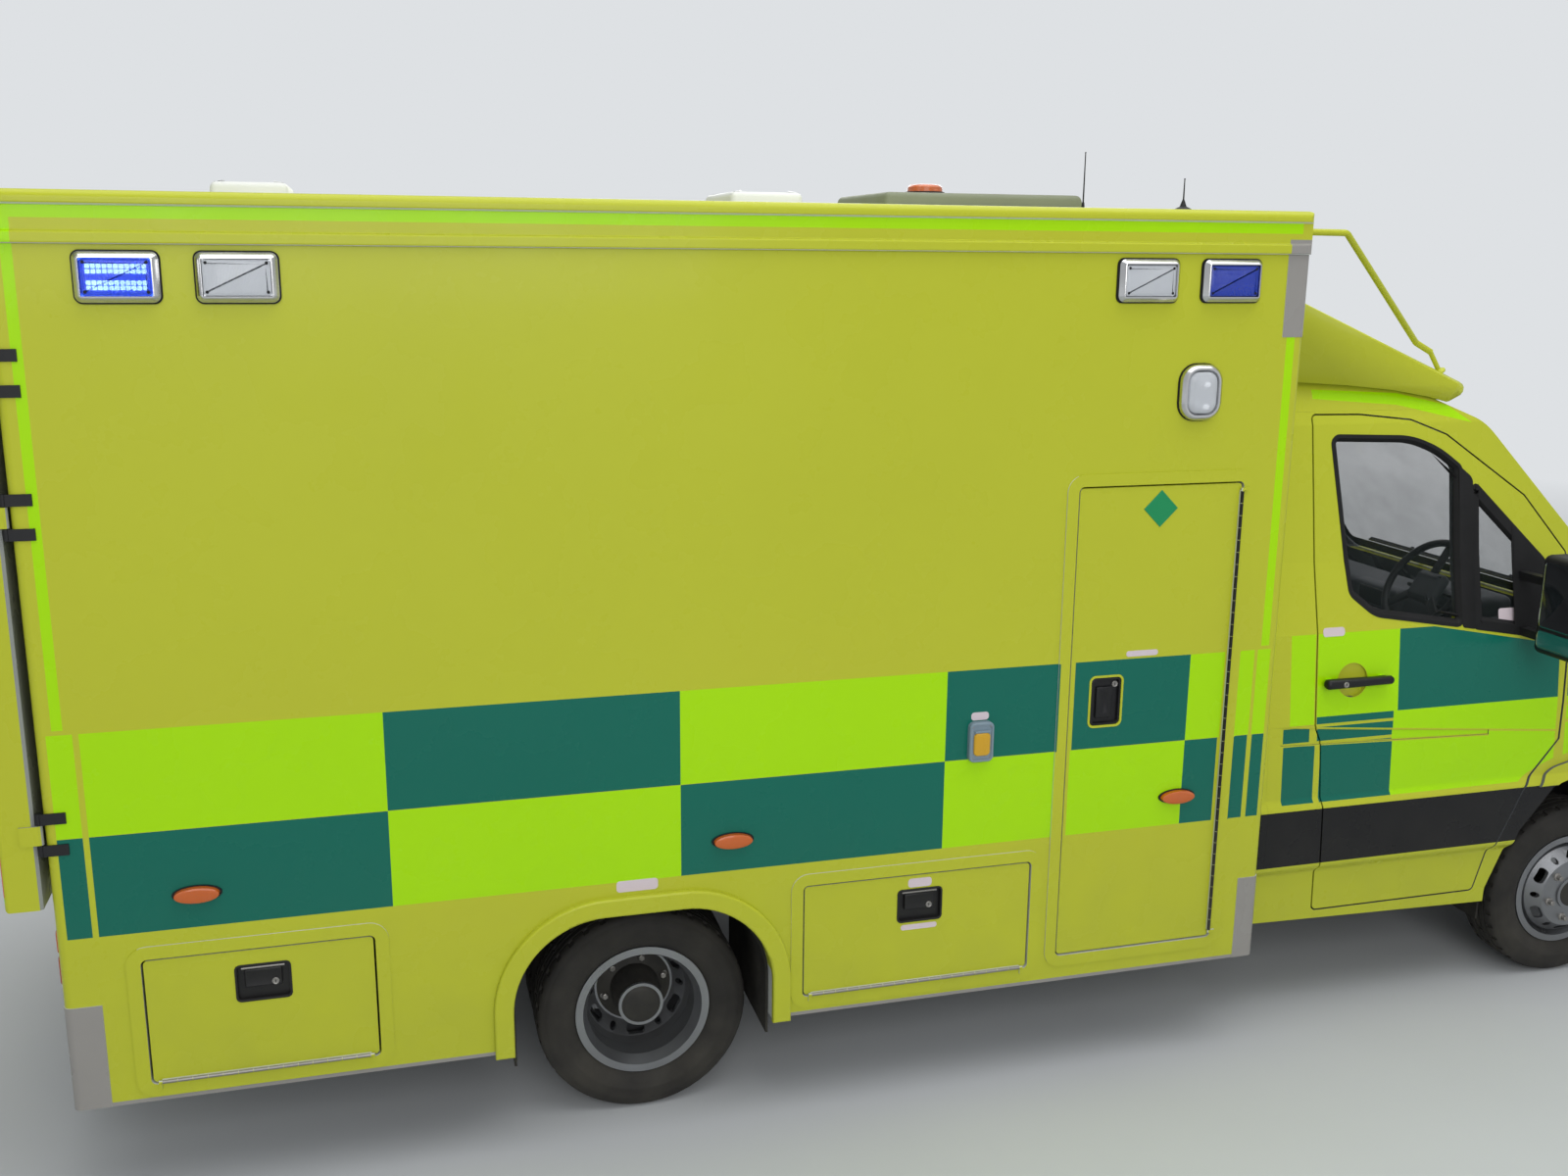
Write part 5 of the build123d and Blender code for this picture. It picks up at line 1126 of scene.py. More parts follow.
def piano_hinge(name, start, length, axis, material, body, flip=False):
    """Knuckles along an axis from a start point."""
    profile = [(0.0, 0.0003)]
    count = int(length / KNUCKLE)
    step = length / count
    for index in range(count):
        low = index * step
        profile += [(low, HINGE_R - 0.0008), (low + 0.0004, HINGE_R), (low + step - 0.0014, HINGE_R),
                    (low + step - 0.0010, HINGE_R - 0.0008)]
    profile.append((length, 0.0003))
    rod = turned("rod", profile, start, axis=axis, steps=14)
    return done(twin_and_drop(rod, name, flip=flip), material, body, 30.0)


HATCHES = [("hatch_right_rear", -1.462, -0.829, 0.396, False),
           ("hatch_right_front", 0.504, 1.286, 0.406, False),
           ("hatch_left_rear", -1.462, -0.829, 0.396, True)]
for body, x0, x1, z, flip in HATCHES:
    piano_hinge(f"hinge_{body}", (along(x0 + 0.024), -HINGE_OUT, z), x1 - x0 - 0.048,
                AHEAD, ALLOY, body, flip)
for body, x, z0, z1, flip in (("locker_door", 1.979, 0.433, 2.036, False),
                              ("side_door", 1.897, 0.433, 2.170, True)):
    piano_hinge(f"hinge_{body}", (along(x), -HINGE_OUT, z0 + 0.024), z1 - z0 - 0.048,
                UP, CHASSIS, body, flip)
print("piano hinges made: 5, knuckle", KNUCKLE, "m")

# %% [markdown]
# ## The plate on the locker door and the charging inlet
# A green diamond on the locker door is a thin plate turned by 45 degrees. It is left bare. The inlet
# below it is a housing with a recessed face and an amber flap with cut corners.
# %% Diamond and inlet
DIAMOND_HALF = 0.043
DIAMOND_AT = (along(1.690), -1.1004, 1.962)
diamond_green = finish("diamond_green", screen(28, 140, 86), 0.35, 0.0, 0.05, 0.02, 900.0, 0.00005)
diamond = slab("diamond", (-DIAMOND_HALF, -0.0012, -DIAMOND_HALF), (DIAMOND_HALF, 0.0, DIAMOND_HALF))
inset_where(diamond, lambda centre, normal: normal.y < -0.99, (0.0015, 0.0006))
done(twin_and_drop(diamond, "diamond_plate", DIAMOND_AT, turn=Matrix.Rotation(radians(45.0), 4, "Y")),
     diamond_green, "locker_door", 20.0)

INLET_X = (along(1.046), along(1.130))
INLET_Z = (1.157, 1.290)
inlet_grey = finish("inlet_grey", screen(126, 144, 156), 0.45, 0.0, 0.1, 0.1, 800.0, 0.0002)
flap_amber = finish("flap_amber", screen(206, 158, 30), 0.3, 0.0, 0.1, 0.1, 900.0, 0.0001, 0.4)
housing = plate("housing", INLET_X, INLET_Z, (1.1003, 1.118), 0.018, inlet_grey)
step_face(housing, (0.003, 0.004), (0.005, 0.0), (0.002, -0.004))
flap = plate("flap", shrunk(INLET_X, 0.014), (INLET_Z[0] + 0.022, INLET_Z[1] - 0.034),
             (1.117, 1.1225), 0.014, flap_amber)
step_face(flap, (0.003, 0.004), (0.008, 0.001))
inlet_parts = [housing, flap]
for x in shrunk(INLET_X, 0.011):
    for z in shrunk(INLET_Z, 0.013):
        inlet_parts.append(turned("screw", [(0.001, 0.0036), (-0.0012, 0.0034), (-0.0020, 0.0003)],
                                  (x, -1.1190, z), steps=12, material=ALLOY))
inlet_parts.append(slab("hinge_bar", (INLET_X[0] + 0.016, -1.1255, INLET_Z[1] - 0.034),
                        (INLET_X[1] - 0.016, -1.1160, INLET_Z[1] - 0.026), 0.002, 2, material=inlet_grey))
mains = done(joined("mains_inlet_housing", inlet_parts), None, "root")
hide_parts("mains_inlet")

# %% [markdown]
# ## Rubber round the cab's windows
# The flank of the cab leans in as it rises, in straight runs between a few heights. A trim piece is
# therefore made flat first: a filled circle takes the places of the window's outline, its face is
# inset for the lip, the ramp and the inner edge, and the middle is deleted. Then every vertex moves in
# to where the flank is at its height.
# %% Outlines and trim
FLANK = [(0.820, 0.996), (0.850, 0.975), (1.130, 0.958), (1.450, 0.925), (1.700, 0.868),
         (2.180, 0.790), (2.390, 0.700)]
CORNER_STEPS = 5
LONGEST_RUN = 0.07
BLUNT_CUT = 0.0045


def flank(z):
    """How far the cab's skin is from the middle plane at a height."""
    for (low, out_low), (high, out_high) in zip(FLANK, FLANK[1:]):
        if z <= high:
            return out_low + (out_high - out_low) * (z - low) / (high - low)
    return FLANK[-1][1]


def neighbours(points):
    """Every point of a closed outline with the one before and the one after it."""
    places = [Vector(point) for point in points]
    return zip(places[-1:] + places[:-1], places, places[1:] + places[:1])


def grown(points, by):
    """A clockwise outline with each side moved outwards."""
    moved = []
    for before, at, after in neighbours(points):
        first, second = (at - before).normalized(), (after - at).normalized()
        out_first, out_second = Vector((-first.y, first.x)), Vector((-second.y, second.x))
        middle = (out_first + out_second).normalized()
        moved.append(at + middle * by / middle.dot(out_first))
    return moved


def round_outline(points, radius):
    """The outline with round corners, wider at blunt ones, its long sides cut into short runs."""
    spots = []
    for before, at, after in neighbours(points):
        back, on = (before - at).normalized(), (after - at).normalized()
        half = back.angle(on) / 2
        shortest = min((at - before).length, (after - at).length)
        blunt = min(BLUNT_CUT / max(1.0 / sin(half) - 1.0, 0.001), 0.45 * shortest * tan(half))
        bend = max(radius, blunt)
        centre = at + (back + on).normalized() * bend / sin(half)
        start, end = at + back * bend / tan(half), at + on * bend / tan(half)
        for step in range(CORNER_STEPS + 1):
            spot = start.lerp(end, step / CORNER_STEPS) - centre
            spots.append(centre + spot.normalized() * bend)
    places = []
    for spot, following in zip(spots, spots[1:] + spots[:1]):
        cuts = int((following - spot).length / LONGEST_RUN) + 1
        places += [spot.lerp(following, cut / cuts) for cut in range(cuts)]
    return places


def flat_trim(name, points, radius, steps, start=0.001, hollow=True):
    """A flat trim facing -Y, drawn as (x, z) from the rear axle; steps are (inwards, outwards)."""
    places = round_outline(points, radius)
    clear_selection()
    bpy.ops.mesh.primitive_circle_add(vertices=len(places), radius=1.0, fill_type="NGON")
    piece = bpy.context.object
    piece.name = name
    for vertex, place in zip(piece.data.vertices, places):
        vertex.co = (along(place.x), start, place.y)
    enter(piece)
    if piece.data.polygons[0].normal.y > 0.0:
        bpy.ops.mesh.flip_normals()
    for inward, outward in steps:
        bpy.ops.mesh.inset(thickness=inward, depth=outward)
    if hollow:
        bpy.ops.mesh.delete(type="FACE")
    leave()
    return piece


def lean_on_flank(piece):
    """Moves a flat trim onto the right flank of the cab."""
    for vertex in piece.data.vertices:
        vertex.co.y -= flank(vertex.co.z)
    return piece


print("the flank leans in by", round(flank(1.45) - flank(2.1), 3), "m beside the windows")

# %% [markdown]
# The main window has a band a good two fingers wide. The small front window sits in a broad black
# frame, and a black bar stands between the two. The arms of the mirror stand on a black plate that
# fills the window's front corner.
# %% Window rubbers
MAIN_WINDOW = [(2.525, 2.143), (2.862, 2.131), (2.979, 2.087), (3.074, 2.018), (3.070, 1.440),
               (2.690, 1.500), (2.590, 1.580)]
FRONT_WINDOW = [(3.115, 1.975), (3.440, 1.665), (3.470, 1.600), (3.470, 1.372), (3.115, 1.432)]
WINDOW_BAR = [(3.062, 2.024), (3.123, 1.976), (3.123, 1.428), (3.062, 1.438)]
MIRROR_SAIL = [(3.292, 1.808), (3.444, 1.668), (3.474, 1.602), (3.474, 1.368), (3.292, 1.400)]
LIP_OUT = 0.004
rubber_steps = [(0.0005, 0.0030), (0.0130, 0.0), (0.0030, -0.0045), (0.0110, -0.0095), (0.0010, -0.0030)]
frame_steps = [(0.0005, 0.0030), (0.0360, 0.0), (0.0040, -0.0050), (0.0070, -0.0090), (0.0010, -0.0030)]
bar_steps = [(0.0010, 0.0035), (0.0020, 0.0008)]
sail_steps = [(0.0010, 0.0040), (0.0060, 0.0010)]
rubbers = [flat_trim("main_rubber", grown(MAIN_WINDOW, LIP_OUT), 0.034, rubber_steps),
           flat_trim("front_frame", grown(FRONT_WINDOW, LIP_OUT), 0.022, frame_steps),
           flat_trim("window_bar", WINDOW_BAR, 0.004, bar_steps, hollow=False),
           flat_trim("mirror_sail", MIRROR_SAIL, 0.010, sail_steps, hollow=False)]
for rubber in rubbers:
    painted_with(lean_on_flank(rubber), RUBBER)
right_rubber = joined("cab_window_rubber_right", rubbers)
both_sides(right_rubber, "cab_window_rubber_left", "cab_door_right", "cab_door_left")
print("rubber faces on a door:", len(right_rubber.data.polygons))

# %% [markdown]
# The panes of the saloon's doors have the same kind of rubber. The side door's window is on a flat
# wall, and the rear ones are made on the wall and turned to the back.
# %% Rubbers on the side and rear doors
SIDE_WINDOW = [(1.300, 2.050), (1.780, 2.050), (1.780, 1.500), (1.300, 1.500)]
REAR_WINDOW = [(-0.300, 0.330), (0.300, 0.330), (0.300, -0.330), (-0.300, -0.330)]
pane_steps = [(0.0005, 0.0030), (0.0060, 0.0), (0.0050, -0.0040), (0.0140, -0.0110), (0.0010, -0.0020)]
side_rubber = flat_trim("side_rubber", grown(SIDE_WINDOW, LIP_OUT), 0.054, pane_steps, 0.001 - WALL_Y)
done(twin_and_drop(side_rubber, "side_window_rubber", flip=True), RUBBER, "side_door")
rear_rubber = flat_trim("rear_rubber", grown(REAR_WINDOW, LIP_OUT), 0.044, pane_steps, 0.001)
to_middle = Matrix.Translation((-along(0.0), 0.0, 0.0))
for side, way in SIDES:
    done(twin(rear_rubber, f"rear_window_rubber_{side}", (REAR_X, way * 0.560, 1.970),
              turn=TO_REAR @ to_middle), RUBBER, f"rear_door_{side}")
bpy.data.objects.remove(rear_rubber)
print("saloon window rubbers: 3")

# %% [markdown]
# ## Locks and bare labels on the flank
# Each cab door has a soft-edged grip over its bar, with a round lock near the rear end. The notices
# on the vehicle are left bare: each is a thin pale plate where the real one is.
# %% Locks and labels
HANDLE_SPAN = (2.466, 2.748)
HANDLE_Z = 1.275
HANDLE_FRONT = 0.9915


def cab_handle(name, flip):
    """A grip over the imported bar, thick at its rear end and slim in front, with its lock."""
    low = (along(HANDLE_SPAN[0]), -HANDLE_FRONT, HANDLE_Z - 0.0185)
    high = (along(HANDLE_SPAN[1]), -0.9535, HANDLE_Z + 0.0185)
    grip = slab("grip", low, high, 0.0165, 5, PULL)
    resize_where(grip, lambda centre, normal: centre.x > along(2.72), (1.0, 1.0, 0.80),
                 (0.0, -0.97, HANDLE_Z + 0.004))
    parts = [grip] + lock(along(2.540), HANDLE_Z, HANDLE_FRONT)
    return twin_and_drop(joined(name, parts), name, flip=flip)


for side, flip in (("right", False), ("left", True)):
    done(cab_handle(f"cab_handle_{side}", flip), None, f"cab_door_{side}")
label_pale = finish("label_pale", screen(214, 200, 206), 0.4, 0.0, 0.05, 0.05, 900.0, 0.00002)
LABELS = [("cab_label", 2.473, 2.562, 1.438, 1.470, True, "cab_door_right"),
          ("locker_label", 1.598, 1.714, 1.470, 1.490, False, "locker_door"),
          ("inlet_label", 1.056, 1.117, 1.293, 1.320, False, "root"),
          ("arch_label", -0.102, 0.028, 0.829, 0.866, False, "root"),
          ("hatch_label_high", 0.856, 0.938, 0.737, 0.768, False, "hatch_right_front"),
          ("hatch_label_low", 0.834, 0.960, 0.588, 0.607, False, "hatch_right_front")]
for name, x0, x1, z0, z1, leaning, body in LABELS:
    label = flat_trim(name, [(x0, z1), (x1, z1), (x1, z0), (x0, z0)], 0.003, [(0.0004, 0.0012)], 0.0,
                      hollow=False)
    if leaning:
        lean_on_flank(label)
    else:
        label.data.transform(Matrix.Translation((0.0, -WALL_Y, 0.0)))
    done(label, label_pale, body)
print("bare labels:", len(LABELS))

# %% [markdown]
# ## Inside the cab
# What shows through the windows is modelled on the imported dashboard: a hood over the instruments, a
# middle panel with a radio, round vents and a lid in front of the passenger.
# %% Dashboard
DRIVER_Y = -0.430
dial_pale = finish("dial_pale", screen(176, 180, 184), 0.4, 0.0, 0.1, 0.0, 300.0, 0.0001)


def softened(name, low, high, radius, material):
    """A block with soft edges in one finish."""
    return slab(name, low, high, radius, 4, material)


hood = softened("hood", (along(3.415), DRIVER_Y - 0.165, 1.335), (along(3.585), DRIVER_Y + 0.165, 1.452),
                0.030, CABIN_WITH_PAINTED_LIGHT)
enter(hood, lambda centre, normal: normal.x < -0.95)
bpy.ops.mesh.inset(thickness=0.012)
bpy.ops.transform.translate(value=(0.045, 0.0, 0.0))
leave()
dash_parts = [hood]
for y in around(DRIVER_Y, 0.062):
    dial = turned("dial", [(0.0, 0.0005), (0.0, 0.044), (0.006, 0.047), (0.006, 0.052), (-0.004, 0.052)],
                  (along(3.460), y, 1.392), axis=(-1.0, 0.0, 0.0), steps=36, material=dial_pale)
    dash_parts.append(dial)
DASH_BLOCKS = [("console", 3.385, 3.470, -0.150, 0.150, 1.000, 1.385, 0.022, CABIN_WITH_PAINTED_LIGHT),
               ("radio", 3.378, 3.395, -0.105, 0.105, 1.215, 1.285, 0.006, dial_pale),
               ("screen_panel", 3.375, 3.395, -0.080, 0.080, 1.300, 1.368, 0.005, RUBBER)]
for column in range(6):
    left, right = around(-0.085 + column * 0.034, 0.011)
    for z in (1.226, 1.252):
        DASH_BLOCKS.append(("button", 3.374, 3.382, left, right, z, z + 0.016, 0.003, CABIN_WITH_PAINTED_LIGHT))
for name, x0, x1, y0, y1, z0, z1, radius, material in DASH_BLOCKS:
    dash_parts.append(softened(name, (along(x0), y0, z0), (along(x1), y1, z1), radius, material))
for y in (-0.745, 0.225, 0.745):
    vent = turned("vent", [(-0.002, 0.040), (0.006, 0.047), (0.016, 0.044), (0.016, 0.038), (0.004, 0.036),
                           (0.004, 0.0005)], (along(3.412), y, 1.305), axis=(-1.0, 0.0, 0.0), steps=32,
                  material=PLASTIC)
    dash_parts.append(vent)
    for step in range(3):
        z = 1.290 + step * 0.015
        dash_parts.append(softened("vane", (along(3.400), y - 0.034, z - 0.001),
                                   (along(3.409), y + 0.034, z + 0.001), 0.0006, PLASTIC))
dash_parts.append(softened("lid", (along(3.392), 0.300, 1.110), (along(3.450), 0.690, 1.255), 0.020,
                           CABIN_WITH_PAINTED_LIGHT))
done(joined("dashboard_fittings", dash_parts), None, "root")
print("dashboard fittings:", len(dash_parts))

# %% [markdown]
# The steering wheel is a turned rim with a round section, three padded spokes and a soft middle. It is
# modelled upright at the origin and then leant towards the driver.
# %% Steering wheel
RIM_RADIUS = 0.190
GRIP_RADIUS = 0.0150
SPOKE_TURNS = (0.0, 130.0, 230.0)
grip_points = [(GRIP_RADIUS * sin(2 * pi * step / 16), RIM_RADIUS + GRIP_RADIUS * cos(2 * pi * step / 16))
               for step in range(17)]
wheel_parts = [turned("grip", grip_points, ORIGIN, axis=UP, steps=72, material=PLASTIC)]
pad = slab("pad", (-0.070, -0.075, -0.045), (0.062, 0.075, 0.004), 0.020, 4, CABIN_WITH_PAINTED_LIGHT)
enter(pad, lambda centre, normal: normal.z > 0.95)
bpy.ops.mesh.inset(thickness=0.016)
bpy.ops.transform.translate(value=(0.0, 0.0, 0.006))
leave()
wheel_parts.append(pad)
for turn in SPOKE_TURNS:
    spoke = slab("spoke", (0.045, -0.019, -0.018), (0.186, 0.019, -0.002), 0.006, 3, PLASTIC)
    resize_where(spoke, lambda centre, normal: normal.x > 0.95, (1.0, 1.35, 0.8), (0.186, 0.0, -0.010))
    spoke.data.transform(Matrix.Rotation(radians(turn), 4, "Z"))
    wheel_parts.append(spoke)
wheel_parts.append(turned("column", [(-0.030, 0.0005), (-0.032, 0.034), (-0.060, 0.040), (-0.150, 0.038),
                                     (-0.262, 0.030), (-0.265, 0.0005)], ORIGIN, axis=UP, steps=32,
                          material=CABIN_WITH_PAINTED_LIGHT))
for way in (-1.0, 1.0):
    stalk = turned("stalk", [(0.030, 0.006), (0.120, 0.0065), (0.150, 0.010), (0.158, 0.008),
                             (0.160, 0.0005)], (0.0, 0.0, -0.062), axis=(0.0, way, 0.0), steps=16,
                   material=PLASTIC)
    wheel_parts.append(stalk)
LEAN = Matrix.Rotation(radians(-58.0), 4, "Y")
steering = twin_and_drop(joined("upright_wheel", wheel_parts), "steering_wheel_dressed",
                         (along(3.290), DRIVER_Y, 1.480), turn=LEAN)
done(steering, None, "root")
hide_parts("steering_wheel")
print("spokes:", len(SPOKE_TURNS))

# %% [markdown]
# ## Fairing over the cab
# The fairing is a thin moulded wedge with a sharp upper edge at its side and a rounded nose that is
# cut back underneath. Its side outline is filled, extruded across in steps, and the steps near the
# sides are drawn back at the nose, so the nose is curved seen from above. Its open underside stands
# over the roof, and a Solidify modifier gives the wall its thickness.
# %% Fairing
FAIRING_REAR = 2.1705
FAIRING_SIDE = [(FAIRING_REAR, 2.337), (FAIRING_REAR, 2.700), (3.085, 2.322), (3.103, 2.312),
                (3.112, 2.299), (3.110, 2.285), (3.100, 2.274), (3.044, 2.250), (2.950, 2.269),
                (2.788, 2.296), (2.591, 2.316), (2.400, 2.329)]
FAIRING_STEPS = [(-0.776, 0.044), (-0.762, 0.016), (-0.700, 0.004), (-0.500, 0.0), (0.500, 0.0),
                 (0.700, 0.004), (0.762, 0.016), (0.776, 0.044)]
clear_selection()
bpy.ops.mesh.primitive_circle_add(vertices=len(FAIRING_SIDE), radius=1.0, fill_type="NGON")
fairing = bpy.context.object
fairing.name = "fairing_shell"
for vertex, (x, z) in zip(fairing.data.vertices, FAIRING_SIDE):
    vertex.co = (along(x), FAIRING_STEPS[0][0], z)
enter(fairing)
for here, there in zip(FAIRING_STEPS, FAIRING_STEPS[1:]):
    bpy.ops.mesh.extrude_region_move(TRANSFORM_OT_translate={"value": (0.0, there[0] - here[0], 0.0)})
leave()
DRAWN_FROM = 2.90
for vertex in fairing.data.vertices:
    drawn = [back for y, back in FAIRING_STEPS if abs(vertex.co.y - y) < 0.001][0]
    share = max(0.0, vertex.co.x - along(DRAWN_FROM)) / (3.112 - DRAWN_FROM)
    vertex.co.x -= drawn * share
    vertex.co.y *= 1.0 - 0.035 * (vertex.co.z - 2.25) / 0.45
enter(fairing)
bpy.ops.mesh.normals_make_consistent(inside=False)
leave()
enter(fairing, lambda centre, normal: abs(centre.y) < 0.77 and
      (centre.x < along(FAIRING_REAR) + 0.001 or (normal.z < -0.5 and centre.x < along(3.05))))
bpy.ops.mesh.delete(type="FACE")
leave()
rounding = fairing.modifiers.new("soft_edges", "BEVEL")
rounding.width = 0.010
rounding.segments = 3
rounding.angle_limit = radians(50)
wall = fairing.modifiers.new("wall", "SOLIDIFY")
wall.thickness = 0.005
wall.offset = -1.0
done(fairing, plain_paint, "root", 40.0)
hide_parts("roof_fairing")
GUARD_FOOT = [(-0.075, 0.0005), (-0.075, 0.0105), (-0.004, 0.0105), (-0.004, 0.026), (0.002, 0.026),
              (0.002, 0.0005)]
for side, way in SIDES:
    foot = turned(f"guard_foot_{side}", GUARD_FOOT, (along(2.990), way * 0.739, 2.368),
                  axis=Vector((0.40, 0.0, -0.60)).normalized(), steps=24)
    done(foot, plain_paint, "root")
print("fairing wall", wall.thickness, "m")

# %% [markdown]
# ## On the roof
# The air conditioner has a grey-green shell with louvres along its sides, the beacon on it is amber
# glass over a dark base, and each vent is a low white dome on a flange. Two black aerials stand near
# the front end.
# %% Roof units
ROOF_TOP = 2.900
shell_green = finish("unit_shell", screen(128, 134, 110), 0.5, 0.0, 0.2, 0.2, 600.0, 0.0002)


def roof_box(name, x_span, half, height, radius, material):
    """A low box on the roof that tapers upwards, with its upper edges rounded."""
    x0, x1 = along(x_span[0]), along(x_span[1])
    box = slab(name, (x0, -half, ROOF_TOP + 0.0003), (x1, half, ROOF_TOP + height))
    resize_where(box, lambda centre, normal: normal.z > 0.9, (0.97, 0.94, 1.0),
                 ((x0 + x1) / 2, 0.0, ROOF_TOP))
    enter(box)
    bpy.ops.mesh.bevel(offset=radius, segments=4, affect="EDGES")
    leave()
    return painted_with(box, material)


cooler = [roof_box("cooler", (1.003, 1.777), 0.297, 0.070, 0.018, shell_green)]
for side in (-1.0, 1.0):
    for step in range(9):
        x = along(1.090 + step * 0.075)
        cooler.append(softened("louvre", (x - 0.028, side * 0.293 - 0.006, ROOF_TOP + 0.018),
                               (x + 0.028, side * 0.293 + 0.004, ROOF_TOP + 0.028), 0.002,
                               PLASTIC))
fan_at = (along(1.560), 0.0, ROOF_TOP + 0.0695)
fan = turned("fan", [(0.0, 0.150), (0.0025, 0.150), (0.0025, 0.140), (-0.004, 0.138), (-0.004, 0.0005)],
             fan_at, axis=UP, steps=48, material=PLASTIC)
cooler.append(fan)
for ring in range(1, 7):
    inner = ring * 0.022
    cooler.append(turned("wire", [(0.0, inner), (0.0016, inner + 0.0015), (0.0, inner + 0.003),
                                  (-0.0016, inner + 0.0015), (0.0, inner)],
                         (fan_at[0], 0.0, ROOF_TOP + 0.0692), axis=UP, steps=40, material=ALLOY))
beacon_at = (along(1.264), 0.0, 2.972)
cooler.append(turned("beacon_base", [(0.0003, 0.0005), (0.0003, 0.073), (0.010, 0.073), (0.012, 0.066),
                                     (0.012, 0.0005)], beacon_at, axis=UP, steps=40, material=PLASTIC))
cooler.append(turned("beacon_dome", [(0.011, 0.066), (0.028, 0.064), (0.0350, 0.056), (0.0375, 0.040),
                                     (0.038, 0.0005)], beacon_at, axis=UP, steps=40, material=amber_lens))
roof_pieces = [joined("air_conditioner", cooler)]
for label, x_span in (("rear", (-1.227, -0.951)), ("middle", (0.455, 0.754))):
    flange = slab("flange", (along(x_span[0]), -0.240, ROOF_TOP + 0.0003),
                  (along(x_span[1]), 0.240, ROOF_TOP + 0.010), 0.004, 3, WHITE)
    hood = roof_box("hood", shrunk(x_span, 0.018), 0.222, 0.065, 0.020, WHITE)
    inset_where(hood, lambda centre, normal: normal.z > 0.95, (0.030, -0.004))
    roof_pieces.append(joined(f"roof_vent_{label}", [flange, hood]))
for label, x, y, base, radius, tip in (("slim", 1.720, -0.380, 0.020, 0.022, 0.214),
                                       ("broad", 1.990, -0.600, 0.026, 0.040, 0.120)):
    mast = turned("mast", [(0.0003, 0.0005), (0.0003, radius), (0.006, radius), (base * 0.7, radius * 0.7),
                           (base, radius * 0.3), (base + 0.020, 0.0046), (base + 0.024, 0.0028),
                           (tip - 0.004, 0.0018), (tip - 0.003, 0.0028), (tip - 0.0005, 0.0024),
                           (tip, 0.0004)], (along(x), y, ROOF_TOP), axis=UP, steps=24, material=PLASTIC)
    roof_pieces.append(mast)
    mast.name = f"aerial_{label}"
for piece in roof_pieces:
    done(piece, None, "root")
    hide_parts("roof_units")
print("pieces on the roof:", len(roof_pieces))

# %% [markdown]
# ## At the rear
# Short grab handles and latch pans on the doors, a rubber seal where they meet, and a step of
# chequered tread plate. The tread's raised bars are one short bar, repeated in rows that lean to
# alternate sides.
# %% Rear details


def facing_rear(piece, name, body, place):
    """Turns a piece that was made about the origin facing -Y, so that it faces the rear."""
    return done(twin_and_drop(piece, name, place, turn=TO_REAR), None, body)


for side, way in SIDES:
    rod = turned("grab", [(0.0, 0.0005), (0.0, 0.0105), (0.260, 0.0105), (0.260, 0.0005)],
                 (0.0, -0.032, -0.130), axis=UP, steps=20, material=PULL)
    grab = [rod]
    for z in (-0.115, 0.115):
        grab.append(softened("leg", (-0.012, -0.036, z - 0.014), (0.012, -0.0004, z + 0.014), 0.004, PULL))
    facing_rear(joined("grab", grab), f"rear_grab_{side}", f"rear_door_{side}", (REAR_X, way * 0.165, 1.560))
    pull = plate("pull", (-0.045, 0.045), (-0.075, 0.075), (0.0004, 0.008), 0.014, PULL)
    step_face(pull, (0.003, 0.003), (0.008, 0.0), (0.002, -0.005))
    pull_parts = [pull,
                  softened("tongue", (-0.024, -0.014, -0.046), (0.024, -0.004, 0.020), 0.004, PULL)]
    facing_rear(joined("pull", pull_parts), f"rear_latch_{side}", f"rear_door_{side}",
                (REAR_X, way * 0.090, 1.180))
seal = softened("rear_seal", (REAR_X - 0.0012, -0.010, 0.972), (REAR_X + 0.010, -0.0034, 2.548), 0.0010,
                RUBBER)
done(seal, None, "rear_door_right")
STEP_X = (-1.786, -1.683)
TREAD_ROWS = 4
TREAD_COLUMNS = 42
tread = slab("tread_sheet", (along(STEP_X[0]) + 0.004, -0.590, 0.4621),
             (along(STEP_X[1]), 0.590, 0.4640), 0.0006, 1)
tread_parts = [tread]
bar = slab("bar", (-0.012, -0.0028, 0.4638), (0.012, 0.0028, 0.4655), 0.0012, 1)
for row in range(TREAD_ROWS):
    for column in range(TREAD_COLUMNS):
        lean = Matrix.Rotation(radians(45.0 if (row + column) % 2 else -45.0), 4, "Z")
        spot = (along(-1.768) + row * 0.024, -0.574 + column * 0.028, 0.0)
        tread_parts.append(twin(bar, "bar", spot, turn=lean))
bpy.data.objects.remove(bar)
done(joined("step_tread", tread_parts), ALLOY, "root")
print("bars on the tread:", len(tread_parts) - 1)

# %% [markdown]
# ## Seats
# The pads are stuffed fabric, so they are blown up by cloth simulation: a block a little smaller than
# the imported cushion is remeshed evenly, put under pressure without gravity for twenty frames, and
# each vertex is held to a largest move. The blown pad is fitted back between the corners of the packed
# cushion, and the seams are pressed in. One seat is made in the middle and copied to both sides.
# %% Stuffed pads
SEAT_VOXEL = 0.008
SWELL = 0.016
SEAM_DEEP = 0.006
SEAM_WIDE = 0.012
PRESSURE = 4.0
LAST_FRAME = 20

